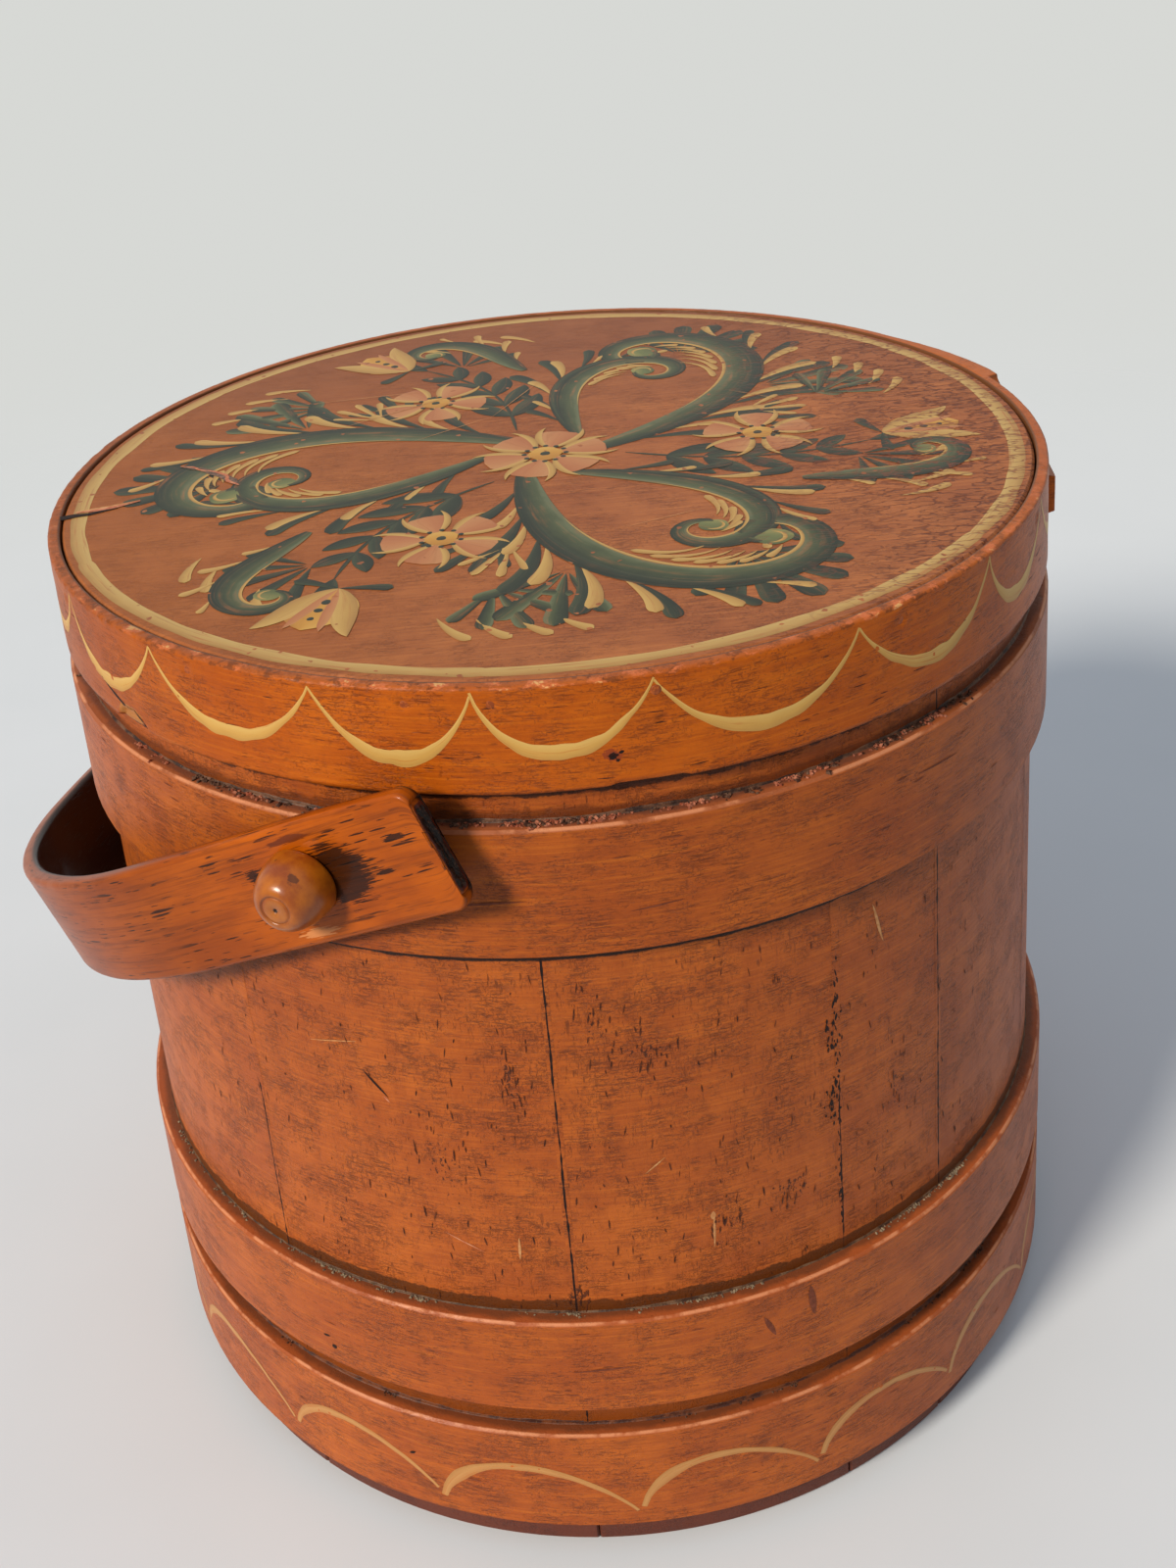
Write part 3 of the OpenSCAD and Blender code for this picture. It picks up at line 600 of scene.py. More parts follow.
def ledge_dirt(name, dark, light):
    """Varnish and dirt that ran together in the corner above a hoop: a brown, half-glossy fillet, black
    where it is thick."""
    material, tree, shader, place = new_material(name)
    bits = grain(tree, place, (5, 5, 3), 4.0, 0.65)
    colour = mixed(tree, band(tree, bits, 0.4, 0.62), dark, light)
    fine = grain(tree, place, (0.9, 0.9, 0.9), 3.0, 0.7)
    colour = mixed(tree, band(tree, fine, 0.62, 0.72, 0.0, 0.5), colour, "#8A6A48")
    finish(tree, shader, colour, fine, 0.25, 0.5)
    return material


def loose_crumb(name, code, other):
    """Flaked paint and grit that lies on the ledges: matt, in a dull colour."""
    material, tree, shader, place = new_material(name)
    bits = grain(tree, place, (1.6, 1.6, 1.6), 3.0, 0.7)
    colour = mixed(tree, band(tree, bits, 0.42, 0.6), code, other)
    finish(tree, shader, colour, bits, 0.3, 0.8, 0.2)
    return material


def scar(name, code, other, rough=0.6):
    """A small old mark in the surface, such as a scratch, a crack or a chip down to the wood."""
    material, tree, shader, place = new_material(name)
    bits = grain(tree, place, (2, 2, 2), 3.0, 0.65)
    colour = mixed(tree, band(tree, bits, 0.4, 0.62), code, other)
    finish(tree, shader, colour, bits, 0.15, rough, 0.2)
    return material


def brushed_colour(name, stops, ground, dry=0.5, bare=0.35, cracks=0.75):
    """Ornament paint laid by one stroke of a loaded brush: the stops run across the stroke, fine bristle
    lines run along it, and the ground shows through where the paint is thin, dry, flaked or cracked."""
    material, tree, shader, place = new_material(name)
    uv = add(tree, "ShaderNodeUVMap", uv_map="stroke").outputs[0]
    parts = add(tree, "ShaderNodeSeparateXYZ", {0: uv})
    lines = grain(tree, uv, (26, 0.22, 1), 3.0, 0.65)
    wander = grain(tree, place, (8, 8, 8), 3.0, 0.6)
    sway = times(tree, maths(tree, "SUBTRACT", wander, 0.5), 0.4)
    bristle = times(tree, maths(tree, "SUBTRACT", lines, 0.5), 0.5)
    across = maths(tree, "ADD", maths(tree, "ADD", parts.outputs[1], sway), bristle)
    ramp = add(tree, "ShaderNodeValToRGB", {0: across})
    while len(ramp.color_ramp.elements) < len(stops):
        ramp.color_ramp.elements.new(0.5)
    for element, (position, code) in zip(ramp.color_ramp.elements, stops):
        element.position = position
        element.color = linear(code)
    under = mixed(tree, band(tree, wander, 0.35, 0.65), *ground)
    thin = times(tree, band(tree, lines, 0.5, 0.7), band(tree, wander, 0.36, 0.62, 0.35, 1.0), dry)
    chips = flecks(tree, place, (3.4, 3.4, 3.4), bare, 0.3, 0.0, 5.0)
    open_paint = maths(tree, "MAXIMUM", thin, chips)
    colour = mixed(tree, open_paint, ramp.outputs[0], under)
    craze = times(tree, crazing(tree, place), cracks)
    colour = mixed(tree, craze, colour, "#7A3C24")
    height = maths(tree, "SUBTRACT", times(tree, lines, 0.3), craze)
    finish(tree, shader, colour, height, 0.16, 0.45, 0.25)
    return material


# Brush strokes

class Strokes:
    """Collects brush strokes as one mesh. Each stroke is a ribbon with its own thickness of paint, and its UV
    map holds the distance along it in millimetres and its place across, from 0 to 1."""

    def __init__(self, surface, materials):
        self.surface = surface
        self.materials = materials
        self.points = []
        self.faces = []
        self.uvs = []
        self.kinds = []
        self.count = 0

    def next_lift(self, layer):
        """Height of a new stroke's edge over the ground: a later stroke lies over an earlier one."""
        self.count += 1
        return 0.03 + 0.015 * layer + 0.0002 * self.count

    def ribbon(self, path, widths, kind, layer=0, columns=6, flip=False):
        """A ribbon along path, a list of (u, v) in millimetres, with a half width at each point."""
        lift = self.next_lift(layer)
        base = len(self.points)
        travelled = 0.0
        rows = []
        for i, (u, v) in enumerate(path):
            before = path[max(i - 1, 0)]
            after = path[min(i + 1, len(path) - 1)]
            du, dv = after[0] - before[0], after[1] - before[1]
            size = math.hypot(du, dv) or 1.0
            side = (-dv / size, du / size)
            if i:
                travelled += math.hypot(u - before[0], v - before[1])
            row = []
            for c in range(columns + 1):
                across = c / columns
                reach = (2 * across - 1) * widths[i]
                crown = 0.03 * (1 - (2 * across - 1) ** 2) * min(1.0, widths[i])
                self.points.append(self.surface(u + side[0] * reach, v + side[1] * reach, lift + crown))
                row.append((travelled + 40 * self.count, 1 - across if flip else across))
            rows.append(row)
        for i in range(len(path) - 1):
            for c in range(columns):
                a = base + i * (columns + 1) + c
                self.faces.append((a, a + columns + 1, a + columns + 2, a + 1))
                self.uvs.append((rows[i][c], rows[i + 1][c], rows[i + 1][c + 1], rows[i][c + 1]))
                self.kinds.append(self.materials.index(kind))

    def disc(self, centre, size, kind, layer=0, squash=1.0, turn=0.0, wobble=0.0, seed=0):
        """A round dab of the brush, in rings from its middle out."""
        lift = self.next_lift(layer)
        rings = 4
        sides = 24 if size > 2 else 12
        base = len(self.points)
        dice = random.Random(seed)
        bumps = [(dice.uniform(-1, 1), dice.uniform(0, 2 * math.pi)) for _ in range(3)]
        a0 = math.radians(turn)
        for r in range(rings + 1):
            for s in range(sides):
                a = 2 * math.pi * s / sides
                reach = size * r / rings
                reach *= 1 + wobble * sum(b * math.sin((k + 2) * a + p) for k, (b, p) in enumerate(bumps))
                x, y = reach * math.cos(a), reach * squash * math.sin(a)
                u = centre[0] + x * math.cos(a0) - y * math.sin(a0)
                v = centre[1] + x * math.sin(a0) + y * math.cos(a0)
                self.points.append(self.surface(u, v, lift + 0.03 * (1 - (r / rings) ** 2)))
        for r in range(rings):
            for s in range(sides):
                a, b = base + r * sides + s, base + r * sides + (s + 1) % sides
                self.faces.append((a, a + sides, b + sides, b))
                corners = ((s, r), (s, r + 1), (s + 1, r + 1), (s + 1, r))
                self.uvs.append([(size * math.cos(2 * math.pi * q / sides) * k / rings + 40 * self.count,
                                  0.5 + 0.5 * math.sin(2 * math.pi * q / sides) * k / rings) for q, k in corners])
                self.kinds.append(self.materials.index(kind))

    def build(self, name, body, slot):
        """Makes the piece."""
        mesh = bpy.data.meshes.new(name)
        mesh.from_pydata(self.points, [], self.faces)
        layer = mesh.uv_layers.new(name="stroke")
        layer.data.foreach_set("uv", [value for face in self.uvs for pair in face for value in pair])
        for material in self.materials:
            mesh.materials.append(MATERIALS[material])
        mesh.polygons.foreach_set("material_index", self.kinds)
        return make_piece(name, mesh, body, slot)


def make_piece(name, mesh, body, slot, *nodes, smooth=True):
    """A finished piece: riding on its body, and standing for the nodes that it replaces."""
    mesh.polygons.foreach_set("use_smooth", [smooth] * len(mesh.polygons))
    mesh.update()
    piece = bpy.data.objects.new(name, mesh)
    bpy.context.scene.collection.objects.link(piece)
    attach(piece, body)
    if nodes:
        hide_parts(*nodes)
    return piece


def flow(start, heading, length, bends, steps=26):
    """A smooth path: it starts at a point with a heading in degrees, and its bend in degrees per millimetre
    goes evenly through the values of bends."""
    x, y = start
    angle = heading
    path = [(x, y)]
    step = length / steps
    for i in range(steps):
        t = (i + 0.5) / steps * (len(bends) - 1)
        k = min(int(t), len(bends) - 2)
        angle += (bends[k] + (bends[k + 1] - bends[k]) * (t - k)) * step
        x += step * math.cos(math.radians(angle))
        y += step * math.sin(math.radians(angle))
        path.append((x, y))
    return path


def heading_at(path, i):
    """Direction of a path at one of its points, in degrees."""
    a, b = path[max(i - 1, 0)], path[min(i + 1, len(path) - 1)]
    return math.degrees(math.atan2(b[1] - a[1], b[0] - a[0]))


def shape(path, width, kind):
    """Half widths along a stroke: a comma has a round head and a long tail, a drop is one drawn from its
    tail, a leaf swells in its middle, a scroll swells early and narrows to its eye, a line keeps its width."""
    last = len(path) - 1
    head = 0.18
    made = []
    for i in range(last + 1):
        t = i / last
        if kind in ("comma", "drop"):
            t = t if kind == "comma" else 1 - t
            blunt = math.sqrt(max(0.0, 1 - (1 - t / head) ** 2)) if t < head else 1.0
            w = blunt * (1 - t) ** 0.72
        elif kind == "leaf":
            w = math.sin(math.pi * t) ** 0.75
        elif kind == "scroll":
            w = math.sin(math.pi * (0.06 + 0.89 * t ** 0.82)) ** 0.85
        else:
            w = min(1.0, 8 * t + 0.3, 8 * (1 - t) + 0.3)
        made.append(max(0.04, width * w))
    return made


def beside(path, gaps):
    """The path moved to its left by a gap at each point."""
    moved = []
    for i, (x, y) in enumerate(path):
        a = math.radians(heading_at(path, i) + 90)
        moved.append((x + gaps[i] * math.cos(a), y + gaps[i] * math.sin(a)))
    return moved


def part_of(path, start, end):
    """The piece of a path between two shares of its length."""
    last = len(path) - 1
    return path[round(start * last):round(end * last) + 1]


def turned_path(path, turn):
    """The path turned about the lid's middle."""
    a = math.radians(turn)
    return [(x * math.cos(a) - y * math.sin(a), x * math.sin(a) + y * math.cos(a)) for x, y in path]


def step_from(point, way, reach):
    """The point at a distance from another, in a direction in degrees."""
    a = math.radians(way)
    return (point[0] + reach * math.cos(a), point[1] + reach * math.sin(a))


# The lid's decoration

def lid_surface(u, v, lift):
    """Lid drawing, right and away as the photograph sees it, to a point just over the board."""
    a = math.radians(VIEW_TURN)
    x = u * math.cos(a) - v * math.sin(a)
    y = u * math.sin(a) + v * math.cos(a)
    return Vector((x, y, LID_TOP + lift)) * MM


def border_ring(strokes):
    """The cream line round the lid: several overlapping sweeps of the brush, a little uneven."""
    sweeps = 6
    steps = 90
    for k in range(sweeps):
        start = 360 / sweeps * k + 20
        path, widths = [], []
        for i in range(steps + 1):
            a = math.radians(start + (360 / sweeps + 4) * i / steps)
            radius = 137.1 + 0.3 * math.sin(5 * a + k) + 0.3 * noise.noise((math.cos(a) * 6, math.sin(a) * 6, k))
            path.append((radius * math.cos(a), radius * math.sin(a)))
            ends = min(1.0, 0.3 + i / 5, 0.3 + (steps - i) / 5)
            widths.append((2.2 + 0.6 * noise.noise((math.cos(a) * 9, math.sin(a) * 9, 4 + k))) * ends)
        strokes.ribbon(path, widths, "cream_line", 0, 4)


def scroll(strokes, path, width, side, layer):
    """One loaded scroll: dark along its back, pale along its belly, and a round eye. side is 1 where it
    curls to the left."""
    body = shape(path, width, "scroll")
    strokes.ribbon(path, body, "green_loaded", layer, 8, side < 0)
    back = part_of(beside(path, [-side * 0.55 * w for w in body]), 0.06, 0.72)
    strokes.ribbon(back, shape(back, 0.32 * width, "leaf"), "green_dark", layer + 1, 4)
    belly = part_of(beside(path, [side * 0.94 * w for w in body]), 0.22, 0.97)
    strokes.ribbon(belly, shape(belly, 0.10 * width, "leaf"), "cream", layer + 1, 3)
    way = heading_at(path, len(path) - 1)
    eye = step_from(path[-1], way + side * 70, 0.45 * width)
    strokes.disc(eye, 0.8 * width, "green_pale", layer + 1, 0.92, way, 0.04, round(width * 10))
    turning = side * 110 / width
    crescent = flow(step_from(eye, way - side * 90, 0.55 * width), way, 1.7 * width, (turning, turning), 18)
    strokes.ribbon(crescent, shape(crescent, 0.10 * width, "leaf"), "cream", layer + 2, 3)


def lobes(strokes, path, width, side, first, last, count, reach, kind, layer, lean, curl):
    """Comma strokes that spring from a scroll's back, side 1 to its left, and curl away from it."""
    body = shape(path, width, "scroll")
    for k in range(count):
        share = k / (count - 1)
        i = round((first + (last - first) * share) * (len(path) - 1))
        way = heading_at(path, i)
        root = step_from(path[i], way + side * 90, 0.9 * body[i])
        long = reach * (1 - 0.45 * abs(2 * share - 0.9))
        stroke = flow(root, way + side * lean, long, (side * 0.3, side * curl), 20)
        strokes.ribbon(stroke, shape(stroke, 0.095 * long + 0.5, "drop"), kind, layer, 5, side < 0)


def combs(strokes, path, width, side, first, last, count, reach, layer):
    """Short cream strokes that fan inside a scroll's belly."""
    body = shape(path, width, "scroll")
    for k in range(count):
        i = round((first + (last - first) * k / (count - 1)) * (len(path) - 1))
        way = heading_at(path, i)
        root = step_from(path[i], way + side * 90, 1.3 * body[i])
        stroke = flow(root, way + side * 16, reach * (1 - 0.1 * k), (side * 1.4, side * 5.2), 16)
        strokes.ribbon(stroke, shape(stroke, 1.35, "comma"), "cream", layer, 4)


def fan(strokes, root, way, spread, count, reach, width, kind, layer):
    """Leaves that open like a hand from one root."""
    middle = (count - 1) / 2
    for k in range(count):
        off = (k - middle) / middle
        start = step_from(root, way + spread * off, 2.2)
        leaf = flow(start, way + spread * off, reach * (1 - 0.2 * abs(off)), (0.9 * off, -0.3 * off), 20)
        strokes.ribbon(leaf, shape(leaf, width * (1 - 0.2 * abs(off)), "drop"), kind, layer, 5, k % 2 == 0)


def spray(strokes, start, way, reach, bends, pairs, leaf, width, kind, layer):
    """A stem with leaves in pairs and one at its tip."""
    stem = flow(start, way, reach, bends, 40)
    strokes.ribbon(stem, shape(stem, 0.6, "line"), kind, layer, 3)
    for k in range(pairs):
        i = 7 + round(30 * k / pairs)
        for side in (1, -1):
            one = flow(stem[i], heading_at(stem, i) + side * 40, leaf * (1 - 0.09 * k),
                       (side * -0.2, side * -1.6), 16)
            strokes.ribbon(one, shape(one, width * (1 - 0.06 * k), "leaf"), kind, layer, 4, side > 0)
    tip = flow(stem[-1], heading_at(stem, len(stem) - 1), leaf * 0.9, (0.3, 0.9), 14)
    strokes.ribbon(tip, shape(tip, width * 0.85, "leaf"), kind, layer, 4)


def bell(strokes, foot, way, size, layer):
    """A bell flower from the side: a mustard cup, cream petals that turn out, and a dotted throat."""
    cup = flow(foot, way, size, (0.0, 0.0), 16)
    strokes.ribbon(cup, shape(cup, size * 0.42, "leaf"), "mustard", layer, 6)
    for side in (1, -1):
        outer = flow(foot, way + side * 46, size * 1.2, (side * -3.2, side * 2.6), 20)
        strokes.ribbon(outer, shape(outer, size * 0.15, "leaf"), "cream", layer + 1, 4, side > 0)
        inner = flow(foot, way + side * 20, size * 1.02, (side * -1.6, side * 1.2), 18)
        strokes.ribbon(inner, shape(inner, size * 0.085, "leaf"), "wash", layer + 1, 4)
        sepal = flow(foot, way + side * 104, size * 0.6, (side * 0.6, side * -2.6), 14)
        strokes.ribbon(sepal, shape(sepal, size * 0.09, "drop"), "green_dark", layer + 1, 4)
    for k in range(3):
        dot = step_from(foot, way, size * (0.34 + 0.2 * k))
        strokes.disc(dot, size * (0.06 - 0.01 * k), "ink", layer + 2, 1.0, 0, 0.05, k)


def blossom(strokes, centre, size, petals, layer, turn):
    """An open flower: petals in a thin wash, each with a cream line round it, and a dotted heart."""
    for k in range(petals):
        way = turn + 360 / petals * k
        start = step_from(centre, way, size * 0.2)
        petal = flow(start, way, size * 0.78, (0.0, 0.0), 18)
        strokes.ribbon(petal, shape(petal, size * 0.36, "drop"), "wash", layer, 6)
        for side in (1, -1):
            hem = flow(start, way + side * 44, size * 1.02, (side * -1.0, side * -102 / size), 20)
            strokes.ribbon(hem, shape(hem, size * 0.06, "leaf"), "cream", layer + 1, 4, side > 0)
    strokes.disc(centre, size * 0.27, "mustard", layer + 2, 1.0, 0, 0.05, petals)
    for k in range(petals * 2):
        dot = step_from(centre, turn + 180 / petals * (k + 0.5), size * 0.33)
        strokes.disc(dot, size * 0.045, "ink", layer + 3, 1.0, 0, 0.0, 1)
    strokes.disc(centre, size * 0.1, "green_dark", layer + 3, 1.0, 0, 0.05, 2)


def lid_design(strokes):
    """The lid's scroll design in three sectors round a middle flower: in each one a long scroll and a short
    one lean together, with leaf fans, sprays, a bell flower and cream commas about them."""
    for sector in range(3):
        turn = 120 * sector + 40
        dice = random.Random(40 + sector)

        def placed(start, way, reach, bends, steps=26):
            bent = way + dice.uniform(-2.0, 2.0)
            return turned_path(flow(start, bent, reach * dice.uniform(0.98, 1.02), bends, steps), turn)

        def spot_at(angle, radius):
            return turned_path([step_from((0, 0), angle, radius)], turn)[0]

        # Leaves and sprays lie under the scrolls
        fan(strokes, spot_at(20, 96), 20 + turn, 56, 7, 31, 3.9, "green_dark", 1)
        fan(strokes, spot_at(-8, 84), -32 + turn, 34, 4, 32, 3.8, "green_loaded", 1)
        spray(strokes, spot_at(-50, 24), -66 + turn, 74, (0.1, 0.9, 0.4), 5, 22, 3.7, "green_dark", 1)
        # The long scroll, the short one and a third that runs back along the edge
        main = placed((8, -8), -10, 192, (0.1, 0.5, 0.95, 1.7, 3.4, 9.6), 72)
        lobes(strokes, main, 6.8, -1, 0.10, 0.56, 6, 36, "green_dark", 2, 24, 2.0)
        lobes(strokes, main, 6.8, -1, 0.15, 0.62, 7, 27, "cream", 3, 22, 2.8)
        scroll(strokes, main, 6.8, 1, 4)
        combs(strokes, main, 6.8, 1, 0.40, 0.66, 7, 22, 5)
        short = placed((17, 4), 62, 124, (-0.1, -0.6, -1.9, -4.4, -10.5), 60)
        lobes(strokes, short, 5.2, 1, 0.12, 0.62, 6, 27, "green_dark", 2, 26, 2.2)
        lobes(strokes, short, 5.2, 1, 0.2, 0.66, 5, 20, "cream", 3, 22, 3.2)
        scroll(strokes, short, 5.2, -1, 4)
        combs(strokes, short, 5.2, -1, 0.38, 0.62, 5, 15, 5)
        small = placed((48, 64), 78, 74, (-0.6, 0.2, 2.4, 6.0, 14.0), 44)
        lobes(strokes, small, 4.6, -1, 0.16, 0.6, 4, 15, "cream", 3, 24, 4.0)
        scroll(strokes, small, 4.6, 1, 4)
        # Fans of commas and leaves fill the gaps between the scrolls
        fan(strokes, spot_at(66, 92), 44 + turn, 50, 5, 25, 3.0, "green_dark", 1)
        fan(strokes, spot_at(-24, 60), -50 + turn, 40, 5, 24, 2.4, "green_dark", 1)
        fan(strokes, spot_at(-20, 66), -30 + turn, 30, 4, 19, 1.7, "cream", 2)
        fan(strokes, spot_at(100, 92), 128 + turn, 46, 5, 24, 2.9, "green_loaded", 1)
        # A bell flower, an open one and loose commas fill the edge
        bell(strokes, spot_at(-44, 100), -30 + turn, 24, 3)
        blossom(strokes, spot_at(82, 64), 17, 5, 5, 20 + turn)
        for first, lean in ((50, 36), (94, 34)):
            for k in range(4):
                angle = first + 5.2 * k
                dab = flow(spot_at(angle, 110), angle + turn + lean, 16 - 1.2 * k, (lean * 0.03, lean * 0.09), 18)
                strokes.ribbon(dab, shape(dab, 1.9, "drop"), "cream", 1, 4)
    blossom(strokes, (0, 0), 19, 6, 7, 12)


def lid_scars(strokes):
    """Where the board has split at the left edge, a chip with its bruise, and fine pale scratches."""
    split = [(-141.3, -17.6), (-137.5, -16.4), (-133.5, -16.2), (-129.5, -14.6), (-125.5, -13.0)]
    strokes.ribbon(split, (1.5, 1.3, 0.8, 0.5, 0.15), "gap", 16, 2)
    flake = [(-137.5, -14.2), (-132.0, -13.4), (-127.0, -12.0), (-119.5, -9.0)]
    strokes.ribbon(flake, (0.3, 1.1, 1.3, 0.3), "pink_wood", 16, 2)
    strokes.ribbon(beside(flake, (0.5, 0.9, 0.8, 0.4)), (0.2, 0.5, 0.5, 0.1), "raw_wood", 17, 2)
    chip = [(-111.5, 16.2), (-108.0, 14.4), (-104.5, 12.6), (-100.5, 8.6), (-97.0, 5.2), (-94.0, 1.0), (-91.5, -3.4)]
    strokes.ribbon(chip, (0.2, 0.9, 1.0, 1.5, 1.3, 1.7, 0.3), "grey_paint", 16, 2)
    strokes.ribbon(beside(chip, (0.2, 0.8, -0.6, 0.9, 0.9, -0.9, 0.3)), (0.1, 0.5, 0.6, 0.5, 0.7, 0.8, 0.2),
                   "pink_wood", 17, 2)
    for start, way, reach, half in (
            ((-66, 36.8), 31, 52, 0.16), ((-40.7, 19.9), 33, 30, 0.13), ((-81, 63.9), 3, 48, 0.12),
            ((-16.4, 34.8), 62, 38, 0.12), ((20, -60), 20, 24, 0.12), ((74, 30), 140, 18, 0.12)):
        scratch = flow(start, way, reach, (0.05, -0.05), 12)
        strokes.ribbon(scratch, shape(scratch, half, "leaf"), "raw_wood", 18, 2)


# Bands: the rim, and what is drawn on rim and hoops

def rim_surface(u, v, lift):
    """Rim drawing: u is the distance round in millimetres from the near peg, v the height."""
    angle = math.degrees(u / RIM_RADIUS_TOP)
    return round_point(angle, v, rim_radius(v) + rim_relief(angle, v) + lift)


def rim_swags(strokes):
    """The scallop line: shallow cream swags hung from points near the rim's top edge."""
    points = [-18.5, 1.6, 17.2, 33.9, 54.8, 74.4, 90.4]
    left = 360 - (points[-1] - points[0])
    more = 14
    steps = 44
    points += [points[-1] + left * (k + 1) / more for k in range(more)]
    for k, (a, b) in enumerate(zip(points, points[1:])):
        u0, u1 = (math.radians(p) * RIM_RADIUS_TOP for p in (a, b))
        top = RIM_TOP - 1.8 + 0.5 * math.sin(4.1 * k)
        depth = 16.4 + 1.2 * math.sin(3.1 * k)
        lean = 0.12 * math.sin(2.2 * k)
        path, widths = [], []
        for i in range(steps + 1):
            t = i / steps
            sag = (1 - abs(2 * t ** (1 + lean) - 1) ** 2.2) ** 0.86
            path.append((u0 + (u1 - u0) * t, top - depth * sag + 0.25 * waver(t * 9, k, 6)))
            widths.append((0.3 + 1.7 * math.sin(math.pi * t ** (1 + lean)) ** 1.5) * (1 + 0.16 * waver(t * 11, k, 8)))
        strokes.ribbon(path, widths, "cream_rim", 0, 5)


HOOP_FACE = BVHTree.FromObject(frame["nodes"]["bottom_hoop"], bpy.context.evaluated_depsgraph_get())


def hoop_surface(u, v, lift):
    """Bottom hoop drawing: u is the distance round in millimetres from the near peg, v the height. The face is
    felt from outside, because the hoop's lapped end stands off."""
    start = round_point(math.degrees(u / FOOT_RADIUS), v, 2 * FOOT_RADIUS)
    inwards = Vector((-start.x, -start.y, 0)).normalized()
    return HOOP_FACE.ray_cast(start, inwards)[0] - inwards * lift * MM


def hoop_arches(strokes):
    """The arch line on the bottom hoop: each stroke starts full and thins as it comes down."""
    points = [-38.2, -17.1, 3.4, 26.1, 47.0, 66.4]
    left = 360 - (points[-1] - points[0])
    more = 13
    steps = 40
    points += [points[-1] + left * (k + 1) / more for k in range(more)]
    for k, (a, b) in enumerate(zip(points, points[1:])):
        u0, u1 = (math.radians(p) * FOOT_RADIUS for p in (a, b))
        foot = 21.5 + 2.0 * math.sin(1.7 * k + 1)
        rise = 38.5 - foot
        path, widths = [], []
        for i in range(steps + 1):
            t = i / steps
            arch = (1 - abs(2 * t ** 0.8 - 1) ** 2.1) ** 0.9
            path.append((u0 + (u1 - u0) * (0.015 + 0.97 * t), foot + rise * arch))
            wide = 1 + 0.2 * waver(t * 6, k, 9)
            widths.append(2.0 * wide * (1 - 0.7 * t) * min(1.0, 0.5 + 5 * t))
        strokes.ribbon(path, widths, "ochre_faded", 0, 4)


# Where nails sit in the rim: angle and height. The last one is lower than the others.
RIM_NAILS = [(a, LID_TOP - 4.2) for a in (11, 19, 34, 60, 88, 112, 158, 190, 222, 256, 290, 322, 347)]
DIMPLES = [place for place in RIM_NAILS if place[0] != 34] + [(34.5, 286.4)]


def rim_relief(angle, z):
    """How far the rim's outer face stands off its plain cone: the raised end, the hand's unevenness, a
    dimple at each nail, and a splintered place at the lower edge."""
    angle = (angle + 180) % 360 - 180
    height = lap_height(angle, z) + 0.10 * waver(angle * 0.06, z * 0.02, 1) + 0.04 * waver(angle * 0.4, z * 0.2, 2)
    for at, level in DIMPLES:
        across = math.radians((angle - at + 180) % 360 - 180) * RIM_RADIUS_TOP
        far = math.hypot(across, z - level)
        if far < 4:
            height -= 0.42 * math.exp(-(far / 1.25) ** 2) - 0.10 * math.exp(-((far - 2.3) / 0.7) ** 2)
    splinter = math.radians(angle + 24.3) * RIM_RADIUS_LOW
    if abs(splinter) < 8:
        edge = RIM_LOW + 4.6 * (1 - (splinter / 8) ** 2) + 0.4 * waver(angle, 0, 5)
        height -= 1.1 * (1 - soft_step(z, edge - 1.4, edge + 0.1))
    return height


def rim_profile(angle):
    """The rim's section at one angle, as radius and height, from the outer face's foot over the top."""
    front = math.cos(math.radians(min(90.0, abs((angle + 16 + 180) % 360 - 180) * 1.1)))
    worn = 0.25 + 0.75 * front
    low = RIM_LOW + 0.22 * (1 + waver(angle * 0.12, 0, 3)) * 0.5
    low += 0.7 * soft_step(angle % 360, 29.0, 30.0) * (1 - soft_step(angle % 360, 36.0, 37.0))
    high = RIM_TOP - 0.10 - worn * 0.22 * (1 + waver(angle * 0.5, 0, 4)) * 0.5
    ease = 0.7 + worn * 0.35 * (1 + waver(angle * 0.9, 0, 6))
    section = []
    rows = 30
    for i in range(rows + 1):
        z = low + 0.35 + (high - ease - low - 0.35) * i / rows
        section.append((rim_radius(z) + rim_relief(angle, z), z))
    outer, z = section[-1]
    for k in range(1, 5):
        a = math.radians(22.5 * k)
        nick = 0.10 * waver(angle * 2.2, k * 0.7, 7) * worn
        section.append((outer - ease * (1 - math.cos(a)) + nick, z + ease * math.sin(a) + nick * 0.5))
    inner = rim_radius(high) - RIM_THICK
    top = section[-1][1]
    for share in (0.35, 0.7):
        section.append((section[rows + 4][0] + (inner + 0.3 - section[rows + 4][0]) * share,
                        top + 0.07 * waver(angle * 1.7, share * 3, 8)))
    section += [(inner + 0.25, top), (inner, top - 0.3)]
    for share in (0.35, 0.7, 1.0):
        z = top - 0.3 - (top - 0.3 - low - 0.3) * share
        section.append((rim_radius(z) - RIM_THICK, z))
    section += [(rim_radius(low) - RIM_THICK + 0.3, low), (section[0][0] - 0.35, low)]
    return section


